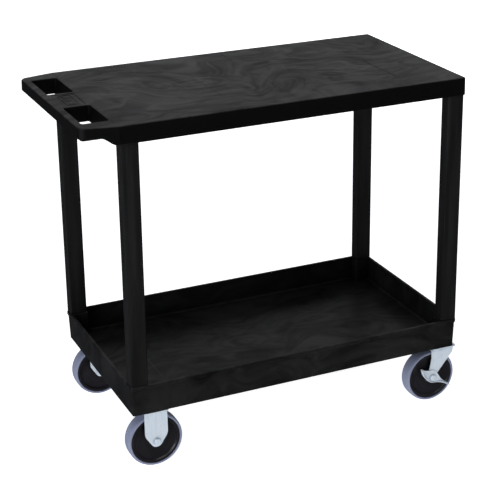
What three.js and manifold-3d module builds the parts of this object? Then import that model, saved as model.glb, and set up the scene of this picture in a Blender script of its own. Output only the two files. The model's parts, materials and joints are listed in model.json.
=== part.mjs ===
// Rolling utility cart: a flat top shelf with a moulded push handle, a deep lower tub, four legs,
// two rigid casters at the handle end and two braked swivel casters at the nose end.
// Millimetres, +Z up. The origin is on the floor under the middle of the cart, the handle is at -X.

import * as THREE from 'three';
import { mergeVertices } from 'three/addons/utils/BufferGeometryUtils.js';
import Module from 'manifold-3d';

const wasm = await Module();
wasm.setup();

// ---------------------------------------------------------------- driving dimensions

const GAP = 0.3;                  // between two pieces that touch
const OVERLAP = 1;                // how far joined primitives run into each other

const CART_HEIGHT = 801.5;        // floor to the top of the deck
const DECK_LENGTH = 895.4;        // handle grip included
const DECK_WIDTH = 457.2;
const DECK_DEPTH = 40;            // height of the skirt around the deck
const DECK_PLATE = 6;
const DECK_WALL = 5;
const DECK_CORNER = 7;
const DECK_RIB_DEPTH = 16;
const DECK_RIB_THICK = 4;
const DECK_CROSS_RIBS = 5;

const HANDLE_LENGTH = 80;         // from the grip's outer face to the full-width deck
const HANDLE_TAPER = 18;          // how much narrower each side is at the grip
const HANDLE_CORNER = 20;
const HANDLE_DEPTH = 24;          // skirt height at the grip
const GRIP_WIDTH = 17.5;
const SLOT_WIDTH = 58;            // finger slots, along X
const SLOT_LENGTH = 125;          // finger slots, along Y
const SLOT_SPACING = 110;         // bridge of deck between the two slots
const SLOT_CORNER = 4;
const SLOT_WALL = 4;
const SLOT_WALL_RISE = 4;         // the slot walls end this far above the skirt's bottom edge
const PLAQUE_DEPTH = 0.8;         // blank panel sunk into the bridge
const PLAQUE_MARGIN = 9;

const TUB_NOSE_SETBACK = 0.4;     // lip behind the deck's nose face
const TUB_SIDE_SETBACK = 2.4;     // lip inside the deck's long faces
const TUB_HEIGHT = 71;
const TUB_WALL = 4.6;
const TUB_CORNER = 9;
const TUB_DRAFT = 2.5;            // how far each wall leans in towards the bottom
const TUB_FLOOR = 6;
const TUB_FOOT = 6;               // ribs, pads and rim under the floor plate
const TUB_RIB_THICK = 4;
const TUB_CROSS_RIBS = 4;
const TUB_LONG_RIBS = 3;
const LIP_HEIGHT = 8;
const LIP_PROUD = 2.4;

const LEG_LENGTH_X = 39.5;
const LEG_LENGTH_Y = 29.5;
const LEG_CORNER = 2.5;
const LEG_WALL = 4.5;
const LEG_END_PLUG = 12;          // solid stretch at each shoulder
const TENON_INSET = 5;
const TENON_WALL = 4;
const TENON_TOP = 30;
const TENON_BOTTOM = 52;
const SOCKET_LEDGE = 1.5;         // socket block proud of the leg's inner faces

const WHEEL_RADIUS = 63.5;
const TYRE_WIDTH = 32;
const TYRE_DEPTH = 6.5;           // rubber over the core
const TYRE_SHOULDER = 6;
const TYRE_SIDE_ROOM = 3;         // from the tyre to each fork leg
const CORE_LIP_SETBACK = 1;       // core's rim in from the tyre's side
const CORE_LIP = 5;               // radial width of the raised rim of the core
const CORE_LIP_SLOPE = 2;
const CORE_WEB_WIDTH = 21;
const HUB_RADIUS = 17;
const WHEEL_HEADROOM = 3.5;       // from the tyre to the swivel crown

const SHEET = 2.5;                // fork steel
const PLATE_THICK = 2.5;
const PLATE_CORNER = 5;
const RIGID_PLATE_LENGTH = 54;
const SWIVEL_PLATE_LENGTH = 60;
const RIGID_SCREW_EDGE = 8;       // screw centre in from the plate's end
const SWIVEL_SCREW_EDGE = 9;
const SCREW_SIDE_EDGE = 5.8;      // screw centre in from the plate's long side
const SCREW_FORK_ROOM = 0.5;      // from a screw's flange to the fork's leg
const RIGID_LEG_INSET = 0.5;      // fork leg's edges in from the plate's ends
const RIGID_TIP_RISE = 14;        // the V starts this far above the axle
const FORK_TIP_RADIUS = 14;
const CROWN_LENGTH = 58;
const CROWN_CORNER = 9;
const RACE_RADIUS = 23;
const RACE_HEIGHT = 5;
const KINGPIN_RADIUS = 5;
const KINGPIN_HEAD_RADIUS = 9;
const KINGPIN_HEAD = 2.4;
const CASTER_TRAIL = 27;

const AXLE_RADIUS = 4;
const AXLE_HEAD_ACROSS = 13;
const AXLE_HEAD = 5.3;
const AXLE_NUT = 6.5;
const AXLE_TAIL = 1.5;            // bolt end past the nut
const BUSH_RADIUS = 6;
const SCREW_RADIUS = 2.2;
const SCREW_HEAD_ACROSS = 8;
const SCREW_HEAD = 2.8;
const SCREW_FLANGE_RADIUS = 5.2;
const SCREW_FLANGE = 1;
const SCREW_REACH = 9;            // into the tub's pad
const LEVER_SHEET = 1.8;
const LEVER_WING = 9;             // how far the folded wings stand out

const CASTER_INSET_Y = 38.2;      // wheel centre in from the tub's lip
const RIGID_INSET_X = 61.4;       // rigid axle in from the tub's handle end
const KINGPIN_INSET_X = 25.8;     // kingpin in from the tub's nose end
const PAD_MARGIN = 10;            // pad around a caster plate

// ---------------------------------------------------------------- worked-out levels and places

const CROWN_BOTTOM = 2 * WHEEL_RADIUS + WHEEL_HEADROOM;
const CROWN_TOP = CROWN_BOTTOM + SHEET;
const RACE_BOTTOM = CROWN_TOP + GAP;
const PLATE_BOTTOM = RACE_BOTTOM + RACE_HEIGHT + GAP;
const PLATE_TOP = PLATE_BOTTOM + PLATE_THICK;
const TUB_BOTTOM = PLATE_TOP + GAP;
const TUB_TOP = TUB_BOTTOM + TUB_HEIGHT;
const FLOOR_BOTTOM = TUB_BOTTOM + TUB_FOOT;
const FLOOR_TOP = FLOOR_BOTTOM + TUB_FLOOR;
const DECK_BOTTOM = CART_HEIGHT - DECK_DEPTH;
const DECK_UNDERSIDE = CART_HEIGHT - DECK_PLATE;

const NOSE_WHEEL_OVERHANG = WHEEL_RADIUS - CASTER_TRAIL - KINGPIN_INSET_X - TUB_NOSE_SETBACK;
const WHEEL_OVERHANG = Math.max(0, NOSE_WHEEL_OVERHANG);
const NOSE_X = (DECK_LENGTH - WHEEL_OVERHANG) / 2;
const GRIP_X = NOSE_X - DECK_LENGTH;
const HANDLE_ROOT_X = GRIP_X + HANDLE_LENGTH;
const SLOT_START_X = GRIP_X + GRIP_WIDTH;
const SLOT_END_X = SLOT_START_X + SLOT_WIDTH;
const TUB_LENGTH = DECK_LENGTH - HANDLE_LENGTH - TUB_NOSE_SETBACK;
const TUB_WIDTH = DECK_WIDTH - 2 * TUB_SIDE_SETBACK;
const TUB_NOSE_X = NOSE_X - TUB_NOSE_SETBACK;
const TUB_HANDLE_X = TUB_NOSE_X - TUB_LENGTH;
const HALF_TUB = TUB_WIDTH / 2;
const HALF_DECK = DECK_WIDTH / 2;
const LEG_FACE_Y = HALF_TUB - LIP_PROUD;
const CASTER_Y = HALF_TUB - CASTER_INSET_Y;
const RIGID_X = TUB_HANDLE_X + RIGID_INSET_X;
const KINGPIN_X = TUB_NOSE_X - KINGPIN_INSET_X;

const CORE_RADIUS = WHEEL_RADIUS - TYRE_DEPTH;
const FORK_INSIDE = TYRE_WIDTH + 2 * TYRE_SIDE_ROOM;
const FORK_OUTSIDE = FORK_INSIDE + 2 * SHEET;
const PLATE_SCREW_Y = FORK_OUTSIDE + 2 * (SCREW_FLANGE_RADIUS + SCREW_FORK_ROOM);
const PLATE_WIDTH_Y = PLATE_SCREW_Y + 2 * SCREW_SIDE_EDGE;
const RIGID_SCREW_X = RIGID_PLATE_LENGTH - 2 * RIGID_SCREW_EDGE;
const SWIVEL_SCREW_X = SWIVEL_PLATE_LENGTH - 2 * SWIVEL_SCREW_EDGE;
const PLATE_MARGIN_Y = PLATE_WIDTH_Y / 2 + PAD_MARGIN;

const CIRCLE = 32;                // facets around a wheel
const SMALL_CIRCLE = 12;          // facets around a bolt or a pin

const ENDS = [
  { name: 'handle', legX: TUB_HANDLE_X + LIP_PROUD + LEG_LENGTH_X / 2 },
  { name: 'nose', legX: TUB_NOSE_X - LIP_PROUD - LEG_LENGTH_X / 2 },
];
const SIDES = [
  { name: 'right', sign: -1 },
  { name: 'left', sign: 1 },
];

// ---------------------------------------------------------------- materials

function finish(color, roughness, metalness) {
  return () => new THREE.MeshStandardMaterial({ color, roughness, metalness });
}

const deckPlastic = finish(0x303134, 0.62, 0);
const legPlastic = finish(0x28292b, 0.55, 0);
const tyreRubber = finish(0x8b93ab, 0.7, 0);
const corePlastic = finish(0x24242d, 0.45, 0);
const zincPlate = finish(0xc6d2e2, 0.35, 1);
const bushSteel = finish(0xb4b8bd, 0.4, 1);

// ---------------------------------------------------------------- solids

function signedVolume(positions, index) {
  const a = new THREE.Vector3();
  const b = new THREE.Vector3();
  const c = new THREE.Vector3();
  let six = 0;
  for (let i = 0; i < index.length; i += 3) {
    a.fromArray(positions, 3 * index[i]);
    b.fromArray(positions, 3 * index[i + 1]);
    c.fromArray(positions, 3 * index[i + 2]);
    six += a.dot(b.cross(c));
  }
  return six / 6;
}

// A three.js geometry as a manifold solid with its faces pointing out.
function solid(geometry) {
  const bare = geometry.clone();
  bare.deleteAttribute('normal');
  bare.deleteAttribute('uv');
  const welded = mergeVertices(bare, 1e-4);
  const vertProperties = new Float32Array(welded.attributes.position.array);
  const triVerts = new Uint32Array(welded.index.array);
  if (signedVolume(vertProperties, triVerts) < 0) {
    for (let i = 0; i < triVerts.length; i += 3) {
      [triVerts[i], triVerts[i + 1]] = [triVerts[i + 1], triVerts[i]];
    }
  }
  const mesh = new wasm.Mesh({ numProp: 3, vertProperties, triVerts });
  return new wasm.Manifold(mesh);
}

function join(...pieces) {
  return pieces.reduce((whole, piece) => whole.add(piece));
}

function cut(whole, ...tools) {
  return tools.reduce((rest, tool) => rest.subtract(tool), whole);
}

function toGeometry(manifold) {
  const mesh = manifold.getMesh();
  const geometry = new THREE.BufferGeometry();
  geometry.setAttribute('position', new THREE.BufferAttribute(new Float32Array(mesh.vertProperties), 3));
  geometry.setIndex(new THREE.BufferAttribute(new Uint32Array(mesh.triVerts), 1));
  geometry.computeVertexNormals();
  return geometry;
}

function named(name, manifold, material, position = [0, 0, 0]) {
  const mesh = new THREE.Mesh(toGeometry(manifold), material());
  mesh.name = name;
  mesh.position.set(...position);
  return mesh;
}

function block(x, y, z) {
  const geometry = new THREE.BoxGeometry(x[1] - x[0], y[1] - y[0], z[1] - z[0]);
  geometry.translate((x[0] + x[1]) / 2, (y[0] + y[1]) / 2, (z[0] + z[1]) / 2);
  return solid(geometry);
}

function roundedRectangle(x, y, radius) {
  const shape = new THREE.Shape();
  shape.moveTo(x[0] + radius, y[0]);
  shape.lineTo(x[1] - radius, y[0]);
  shape.absarc(x[1] - radius, y[0] + radius, radius, -Math.PI / 2, 0);
  shape.lineTo(x[1], y[1] - radius);
  shape.absarc(x[1] - radius, y[1] - radius, radius, 0, Math.PI / 2);
  shape.lineTo(x[0] + radius, y[1]);
  shape.absarc(x[0] + radius, y[1] - radius, radius, Math.PI / 2, Math.PI);
  shape.lineTo(x[0], y[0] + radius);
  shape.absarc(x[0] + radius, y[0] + radius, radius, Math.PI, 1.5 * Math.PI);
  return shape;
}

// A shape drawn in the XY plane and raised along Z.
function prismGeometry(shape, z, curveSegments = 4) {
  const geometry = new THREE.ExtrudeGeometry(shape, {
    depth: z[1] - z[0], bevelEnabled: false, curveSegments,
  });
  geometry.translate(0, 0, z[0]);
  return geometry;
}

function prism(shape, z, curveSegments) {
  return solid(prismGeometry(shape, z, curveSegments));
}

// A shape drawn in the XZ plane and given its thickness along Y.
function sheetXZ(shape, y, curveSegments = 6) {
  const geometry = new THREE.ExtrudeGeometry(shape, {
    depth: y[1] - y[0], bevelEnabled: false, curveSegments,
  });
  geometry.rotateX(Math.PI / 2);
  geometry.translate(0, y[1], 0);
  return solid(geometry);
}

// A prism whose walls lean in by the inset at its lower face.
function draftedPrism(shape, z, inset, centreX) {
  const geometry = prismGeometry(shape, z);
  const position = geometry.attributes.position;
  for (let i = 0; i < position.count; i += 1) {
    if (position.getZ(i) < (z[0] + z[1]) / 2) {
      const x = position.getX(i);
      const y = position.getY(i);
      position.setX(i, x - Math.sign(x - centreX) * inset);
      position.setY(i, y - Math.sign(y) * inset);
    }
  }
  return solid(geometry);
}

function rod(radius, z, [x, y] = [0, 0], facets = SMALL_CIRCLE) {
  const geometry = new THREE.CylinderGeometry(radius, radius, z[1] - z[0], facets);
  geometry.rotateX(Math.PI / 2);
  geometry.translate(x, y, (z[0] + z[1]) / 2);
  return solid(geometry);
}

// A round or six-sided bar along Y, such as a shaft, a bolt head or a nut.
function barY(radius, ends, facets = SMALL_CIRCLE) {
  const y = ends[0] < ends[1] ? ends : [ends[1], ends[0]];
  const geometry = new THREE.CylinderGeometry(radius, radius, y[1] - y[0], facets);
  geometry.translate(0, (y[0] + y[1]) / 2, 0);
  return solid(geometry);
}

function hexRadius(acrossFlats) {
  return acrossFlats / Math.sqrt(3);
}

// ---------------------------------------------------------------- top shelf with its handle

// Plan of the deck, pulled in by the inset on every side.
function deckPlan(inset) {
  const nose = NOSE_X - inset;
  const grip = GRIP_X + inset;
  const half = HALF_DECK - inset;
  const gripHalf = half - HANDLE_TAPER;
  const corner = Math.max(DECK_CORNER - inset, 1);
  const handleCorner = Math.max(HANDLE_CORNER - inset, 1);
  const lean = Math.atan2(HANDLE_TAPER, HANDLE_LENGTH);
  const cornerX = grip + handleCorner;
  const cornerY = gripHalf - handleCorner + HANDLE_TAPER * (handleCorner / HANDLE_LENGTH);
  const shape = new THREE.Shape();
  shape.moveTo(HANDLE_ROOT_X, -half);
  shape.lineTo(nose - corner, -half);
  shape.absarc(nose - corner, -half + corner, corner, -Math.PI / 2, 0);
  shape.lineTo(nose, half - corner);
  shape.absarc(nose - corner, half - corner, corner, 0, Math.PI / 2);
  shape.lineTo(HANDLE_ROOT_X, half);
  shape.absarc(cornerX, cornerY, handleCorner, Math.PI / 2 + lean, Math.PI);
  shape.lineTo(grip, -cornerY);
  shape.absarc(cornerX, -cornerY, handleCorner, Math.PI, 1.5 * Math.PI - lean);
  shape.closePath();
  return shape;
}

// Everything below the handle's sweeping underside, seen from the side.
function belowHandle() {
  const low = CART_HEIGHT - DECK_DEPTH;
  const high = CART_HEIGHT - HANDLE_DEPTH;
  const bendEnd = SLOT_END_X - GAP;
  const bendStart = bendEnd - SLOT_WIDTH * 0.55;
  const bendMiddle = (bendStart + bendEnd) / 2;
  const shape = new THREE.Shape();
  shape.moveTo(GRIP_X - OVERLAP, low - OVERLAP);
  shape.lineTo(bendEnd, low - OVERLAP);
  shape.lineTo(bendEnd, low);
  shape.bezierCurveTo(bendMiddle, low, bendMiddle, high, bendStart, high);
  shape.lineTo(GRIP_X - OVERLAP, high);
  shape.closePath();
  return sheetXZ(shape, [-HALF_DECK - OVERLAP, HALF_DECK + OVERLAP], 10);
}

function slotSpan(side, margin) {
  const inner = SLOT_SPACING / 2 - margin;
  const outer = SLOT_SPACING / 2 + SLOT_LENGTH + margin;
  return side.sign < 0 ? [-outer, -inner] : [inner, outer];
}

// The hollow under the deck, between its skirt, ribs, finger wells and leg sockets.
function underDeckHollow() {
  const whole = prism(deckPlan(DECK_WALL), [DECK_BOTTOM - OVERLAP, DECK_UNDERSIDE], 6);
  const full = [DECK_BOTTOM - 2 * OVERLAP, DECK_UNDERSIDE + OVERLAP];
  const ribZ = [DECK_UNDERSIDE - DECK_RIB_DEPTH, DECK_UNDERSIDE + OVERLAP];
  const acrossY = [-HALF_DECK, HALF_DECK];
  const kept = [block([SLOT_END_X, SLOT_END_X + DECK_WALL], acrossY, full)];
  for (let i = 1; i <= DECK_CROSS_RIBS; i += 1) {
    const x = HANDLE_ROOT_X + ((NOSE_X - HANDLE_ROOT_X) * i) / (DECK_CROSS_RIBS + 1);
    kept.push(block([x - DECK_RIB_THICK / 2, x + DECK_RIB_THICK / 2], acrossY, ribZ));
  }
  for (const side of SIDES) {
    const y = (side.sign * DECK_WIDTH) / 6;
    const wellX = [SLOT_START_X - SLOT_WALL, SLOT_END_X + OVERLAP];
    kept.push(block([SLOT_END_X, NOSE_X], [y - DECK_RIB_THICK / 2, y + DECK_RIB_THICK / 2], ribZ));
    kept.push(block(wellX, slotSpan(side, SLOT_WALL), full));
    for (const end of ENDS) {
      kept.push(socketBlock(end, side, full));
    }
  }
  return cut(whole, ...kept);
}

function topShelf() {
  let shelf = cut(prism(deckPlan(0), [DECK_BOTTOM, CART_HEIGHT], 6), underDeckHollow());
  for (const side of SIDES) {
    const opening = roundedRectangle([SLOT_START_X, SLOT_END_X], slotSpan(side, 0), SLOT_CORNER);
    shelf = cut(shelf, prism(opening, [DECK_BOTTOM - OVERLAP, CART_HEIGHT + OVERLAP]));
    for (const end of ENDS) {
      const pocketTop = DECK_BOTTOM + TENON_TOP + GAP;
      shelf = cut(shelf, tenonPocket(end, side, [DECK_BOTTOM - OVERLAP, pocketTop]));
    }
  }
  const plaqueX = [SLOT_START_X + SLOT_CORNER, SLOT_END_X - SLOT_CORNER];
  const plaqueHalf = SLOT_SPACING / 2 - PLAQUE_MARGIN;
  const plaque = roundedRectangle(plaqueX, [-plaqueHalf, plaqueHalf], SLOT_CORNER);
  shelf = cut(shelf, prism(plaque, [CART_HEIGHT - PLAQUE_DEPTH, CART_HEIGHT + OVERLAP]));
  const wellX = [SLOT_START_X - SLOT_WALL, SLOT_END_X + OVERLAP];
  const wellZ = [DECK_BOTTOM + SLOT_WALL_RISE, CART_HEIGHT];
  const wells = SIDES.map((side) => block(wellX, slotSpan(side, SLOT_WALL), wellZ));
  return cut(shelf, cut(belowHandle(), ...wells));
}

// ---------------------------------------------------------------- leg sockets, shared by both shelves

function legSpan(end, side, inset) {
  const halfX = LEG_LENGTH_X / 2 - inset;
  const halfY = LEG_LENGTH_Y / 2 - inset;
  const y = side.sign * (LEG_FACE_Y - LEG_LENGTH_Y / 2);
  return { x: [end.legX - halfX, end.legX + halfX], y: [y - halfY, y + halfY] };
}

function socketBlock(end, side, z) {
  const span = legSpan(end, side, 0);
  const x = end.name === 'nose'
    ? [span.x[0] - SOCKET_LEDGE, span.x[1]]
    : [span.x[0], span.x[1] + SOCKET_LEDGE];
  const y = side.sign < 0
    ? [span.y[0], span.y[1] + SOCKET_LEDGE]
    : [span.y[0] - SOCKET_LEDGE, span.y[1]];
  return block(x, y, z);
}

function tenonPocket(end, side, z) {
  const span = legSpan(end, side, TENON_INSET - GAP);
  return block(span.x, span.y, z);
}

// ---------------------------------------------------------------- lower tub

function tubPlan(inset) {
  const x = [TUB_HANDLE_X + inset, TUB_NOSE_X - inset];
  const y = [-HALF_TUB + inset, HALF_TUB - inset];
  return roundedRectangle(x, y, Math.max(TUB_CORNER - inset, 2));
}

function underTubRibs(z) {
  const ribs = [];
  const x = [TUB_HANDLE_X, TUB_NOSE_X];
  const y = [-HALF_TUB, HALF_TUB];
  for (let i = 1; i <= TUB_CROSS_RIBS; i += 1) {
    const centre = x[0] + (TUB_LENGTH * i) / (TUB_CROSS_RIBS + 1);
    ribs.push(block([centre - TUB_RIB_THICK / 2, centre + TUB_RIB_THICK / 2], y, z));
  }
  for (let i = 1; i <= TUB_LONG_RIBS; i += 1) {
    const centre = y[0] + (TUB_WIDTH * i) / (TUB_LONG_RIBS + 1);
    ribs.push(block(x, [centre - TUB_RIB_THICK / 2, centre + TUB_RIB_THICK / 2], z));
  }
  return ribs;
}

// Solid pad that a caster plate is screwed up against, running out to the tub's wall.
function casterPad(spot, z) {
  const inner = CASTER_Y - PLATE_MARGIN_Y;
  const y = spot.side.sign < 0 ? [-HALF_TUB, -inner] : [inner, HALF_TUB];
  const reach = spot.halfLength + PAD_MARGIN;
  return block([spot.x - reach, spot.x + reach], y, z);
}

function casterSpots() {
  return SIDES.flatMap((side) => [
    { side, x: RIGID_X, halfLength: RIGID_PLATE_LENGTH / 2, screwX: RIGID_SCREW_X },
    { side, x: KINGPIN_X, halfLength: SWIVEL_PLATE_LENGTH / 2, screwX: SWIVEL_SCREW_X },
  ]);
}

function screwOffsets(spacingX) {
  return [-1, 1].flatMap((i) => [-1, 1].map((j) => [(i * spacingX) / 2, (j * PLATE_SCREW_Y) / 2]));
}

// The space inside the tub, less the four leg sockets in its corners.
function tubInside(centreX) {
  const z = [FLOOR_TOP, TUB_TOP + OVERLAP];
  const whole = draftedPrism(tubPlan(LIP_PROUD + TUB_WALL), z, TUB_DRAFT, centreX);
  const socketZ = [FLOOR_TOP - OVERLAP, TUB_TOP + 2 * OVERLAP];
  return cut(whole, ...SIDES.flatMap((side) => ENDS.map((end) => socketBlock(end, side, socketZ))));
}

// The space under the tub's floor, less its ribs and caster pads.
function underTub() {
  const inset = LIP_PROUD + TUB_DRAFT + TUB_WALL;
  const whole = prism(tubPlan(inset), [TUB_BOTTOM - OVERLAP, FLOOR_BOTTOM]);
  const z = [TUB_BOTTOM - 2 * OVERLAP, FLOOR_BOTTOM + OVERLAP];
  return cut(whole, ...underTubRibs(z), ...casterSpots().map((spot) => casterPad(spot, z)));
}

function lowerTub() {
  const centreX = (TUB_HANDLE_X + TUB_NOSE_X) / 2;
  const shell = draftedPrism(tubPlan(LIP_PROUD), [TUB_BOTTOM, TUB_TOP - OVERLAP], TUB_DRAFT, centreX);
  const lip = prism(tubPlan(0), [TUB_TOP - LIP_HEIGHT, TUB_TOP]);
  let tub = cut(join(shell, lip), tubInside(centreX), underTub());
  for (const side of SIDES) {
    for (const end of ENDS) {
      tub = cut(tub, tenonPocket(end, side, [TUB_TOP - TENON_BOTTOM - GAP, TUB_TOP + OVERLAP]));
    }
  }
  for (const spot of casterSpots()) {
    for (const [dx, dy] of screwOffsets(spot.screwX)) {
      const at = [spot.x + dx, spot.side.sign * CASTER_Y + dy];
      const z = [TUB_BOTTOM - OVERLAP, TUB_BOTTOM + SCREW_REACH + GAP];
      tub = cut(tub, rod(SCREW_RADIUS + GAP, z, at));
    }
  }
  return tub;
}

// ---------------------------------------------------------------- legs

function legSection(inset, corner) {
  const halfX = LEG_LENGTH_X / 2 - inset;
  const halfY = LEG_LENGTH_Y / 2 - inset;
  return roundedRectangle([-halfX, halfX], [-halfY, halfY], corner);
}

// One hollow leg: a shaft between two shoulders, with a tenon at each end.
function leg() {
  const shaftZ = [TUB_TOP + GAP, DECK_BOTTOM - GAP];
  const tenonZ = [TUB_TOP - TENON_BOTTOM, DECK_BOTTOM + TENON_TOP];
  const shaft = prism(legSection(0, LEG_CORNER), shaftZ, 3);
  const tenons = prism(legSection(TENON_INSET, 1), tenonZ, 2);
  const bore = prism(legSection(TENON_INSET + TENON_WALL, 1), [tenonZ[0] - OVERLAP, tenonZ[1] + OVERLAP], 2);
  const cavity = prism(legSection(LEG_WALL, 1), [shaftZ[0] + LEG_END_PLUG, shaftZ[1] - LEG_END_PLUG], 2);
  return cut(join(shaft, tenons), bore, cavity);
}

// ---------------------------------------------------------------- wheels and axles, about the Y axis

function lathed(points, facets = CIRCLE) {
  const profile = points.map(([radius, y]) => new THREE.Vector2(radius, y));
  profile.push(profile[0].clone());
  const geometry = new THREE.LatheGeometry(profile, facets);
  return solid(geometry);
}

function mirroredProfile(half) {
  const back = half.map(([radius, y]) => [radius, -y]).reverse();
  return [...half, ...back];
}

function wheelCore() {
  const bore = BUSH_RADIUS + GAP;
  const half = [
    [bore, FORK_INSIDE / 2 - 2 * GAP],
    [HUB_RADIUS - CORE_LIP_SLOPE, FORK_INSIDE / 2 - 2 * GAP],
    [HUB_RADIUS, CORE_WEB_WIDTH / 2],
    [CORE_RADIUS - CORE_LIP - CORE_LIP_SLOPE, CORE_WEB_WIDTH / 2],
    [CORE_RADIUS - CORE_LIP, TYRE_WIDTH / 2 - CORE_LIP_SETBACK],
    [CORE_RADIUS - GAP, TYRE_WIDTH / 2 - CORE_LIP_SETBACK],
  ];
  return lathed(mirroredProfile(half));
}

function tyre() {
  const halfWidth = TYRE_WIDTH / 2;
  const half = [
    [CORE_RADIUS, halfWidth - 1],
    [CORE_RADIUS + 1, halfWidth],
    [WHEEL_RADIUS - TYRE_SHOULDER * 0.55, halfWidth - TYRE_SHOULDER * 0.12],
    [WHEEL_RADIUS - TYRE_SHOULDER * 0.15, halfWidth - TYRE_SHOULDER * 0.55],
    [WHEEL_RADIUS, halfWidth - TYRE_SHOULDER * 1.4],
  ];
  return lathed(mirroredProfile(half));
}

function bush() {
  const half = [
    [AXLE_RADIUS + GAP, FORK_INSIDE / 2 - GAP],
    [BUSH_RADIUS, FORK_INSIDE / 2 - GAP],
  ];
  return lathed(mirroredProfile(half), SMALL_CIRCLE);
}

// Axle bolt with its head on the outward side, past whatever is stacked on the fork leg there.
function axleBolt(outward, stack) {
  const headInner = FORK_OUTSIDE / 2 + stack + GAP;
  const tail = FORK_OUTSIDE / 2 + GAP + AXLE_NUT + AXLE_TAIL;
  const shank = barY(AXLE_RADIUS, [-outward * tail, outward * (headInner + OVERLAP)]);
  const head = barY(hexRadius(AXLE_HEAD_ACROSS), [outward * headInner, outward * (headInner + AXLE_HEAD)], 6);
  return join(shank, head);
}

function axleNut(outward) {
  const near = FORK_OUTSIDE / 2 + GAP;
  const far = near + AXLE_NUT;
  const body = barY(hexRadius(AXLE_HEAD_ACROSS), [-outward * near, -outward * far], 6);
  const hole = barY(AXLE_RADIUS + GAP, [-outward * (near - OVERLAP), -outward * (far + OVERLAP)]);
  return cut(body, hole);
}

// ---------------------------------------------------------------- caster steelwork

function platePlan(length) {
  return roundedRectangle([-length / 2, length / 2], [-PLATE_WIDTH_Y / 2, PLATE_WIDTH_Y / 2], PLATE_CORNER);
}

function drilledPlate(length, screwX) {
  let plate = prism(platePlan(length), [PLATE_BOTTOM, PLATE_TOP]);
  for (const at of screwOffsets(screwX)) {
    plate = cut(plate, rod(SCREW_RADIUS + GAP, [PLATE_BOTTOM - OVERLAP, PLATE_TOP + OVERLAP], at));
  }
  return plate;
}

function forkLegs(outline) {
  const inner = FORK_INSIDE / 2;
  return join(
    sheetXZ(outline, [inner, inner + SHEET]),
    sheetXZ(outline, [-inner - SHEET, -inner]),
  );
}

function axleHole(x) {
  const reach = FORK_OUTSIDE / 2 + OVERLAP;
  return barY(AXLE_RADIUS + GAP, [-reach, reach]).translate(x, 0, WHEEL_RADIUS);
}

// Rigid fork: top plate and two straight legs that come to a rounded point under the axle.
function rigidFork() {
  const half = RIGID_PLATE_LENGTH / 2 - RIGID_LEG_INSET;
  const shoulderZ = WHEEL_RADIUS + RIGID_TIP_RISE;
  const tipAngle = Math.PI / 4;
  const outline = new THREE.Shape();
  outline.moveTo(-half, PLATE_BOTTOM + OVERLAP);
  outline.lineTo(-half, shoulderZ);
  outline.absarc(0, WHEEL_RADIUS, FORK_TIP_RADIUS, Math.PI + tipAngle, 2 * Math.PI - tipAngle);
  outline.lineTo(half, shoulderZ);
  outline.lineTo(half, PLATE_BOTTOM + OVERLAP);
  outline.closePath();
  const plate = drilledPlate(RIGID_PLATE_LENGTH, RIGID_SCREW_X);
  return cut(join(plate, forkLegs(outline)), axleHole(0));
}

// Swivel fork: crown plate and two raked legs that narrow to the trailing axle.
function swivelFork() {
  const half = CROWN_LENGTH / 2;
  const outline = new THREE.Shape();
  outline.moveTo(half, CROWN_BOTTOM + OVERLAP);
  outline.lineTo(-half, CROWN_BOTTOM + OVERLAP);
  outline.absarc(-CASTER_TRAIL, WHEEL_RADIUS, FORK_TIP_RADIUS, Math.PI, 1.83 * Math.PI);
  outline.closePath();
  const crownY = [-FORK_OUTSIDE / 2, FORK_OUTSIDE / 2];
  const crown = prism(roundedRectangle([-half, half], crownY, CROWN_CORNER), [CROWN_BOTTOM, CROWN_TOP]);
  const pinHole = rod(KINGPIN_RADIUS + GAP, [CROWN_BOTTOM - OVERLAP, CROWN_TOP + OVERLAP]);
  return cut(join(crown, forkLegs(outline)), pinHole, axleHole(-CASTER_TRAIL));
}

function swivelPlate() {
  const plate = drilledPlate(SWIVEL_PLATE_LENGTH, SWIVEL_SCREW_X);
  return cut(plate, rod(KINGPIN_RADIUS + GAP, [PLATE_BOTTOM - OVERLAP, PLATE_TOP + OVERLAP]));
}

function ballRace() {
  const raceTop = RACE_BOTTOM + RACE_HEIGHT;
  const ring = rod(RACE_RADIUS, [RACE_BOTTOM, raceTop], [0, 0], CIRCLE);
  return cut(ring, rod(KINGPIN_RADIUS + GAP, [RACE_BOTTOM - OVERLAP, raceTop + OVERLAP]));
}

function kingpin() {
  const headTop = CROWN_BOTTOM - GAP;
  const head = rod(KINGPIN_HEAD_RADIUS, [headTop - KINGPIN_HEAD, headTop], [0, 0], 24);
  return join(head, rod(KINGPIN_RADIUS, [headTop - OVERLAP, PLATE_TOP - GAP]));
}

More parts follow.
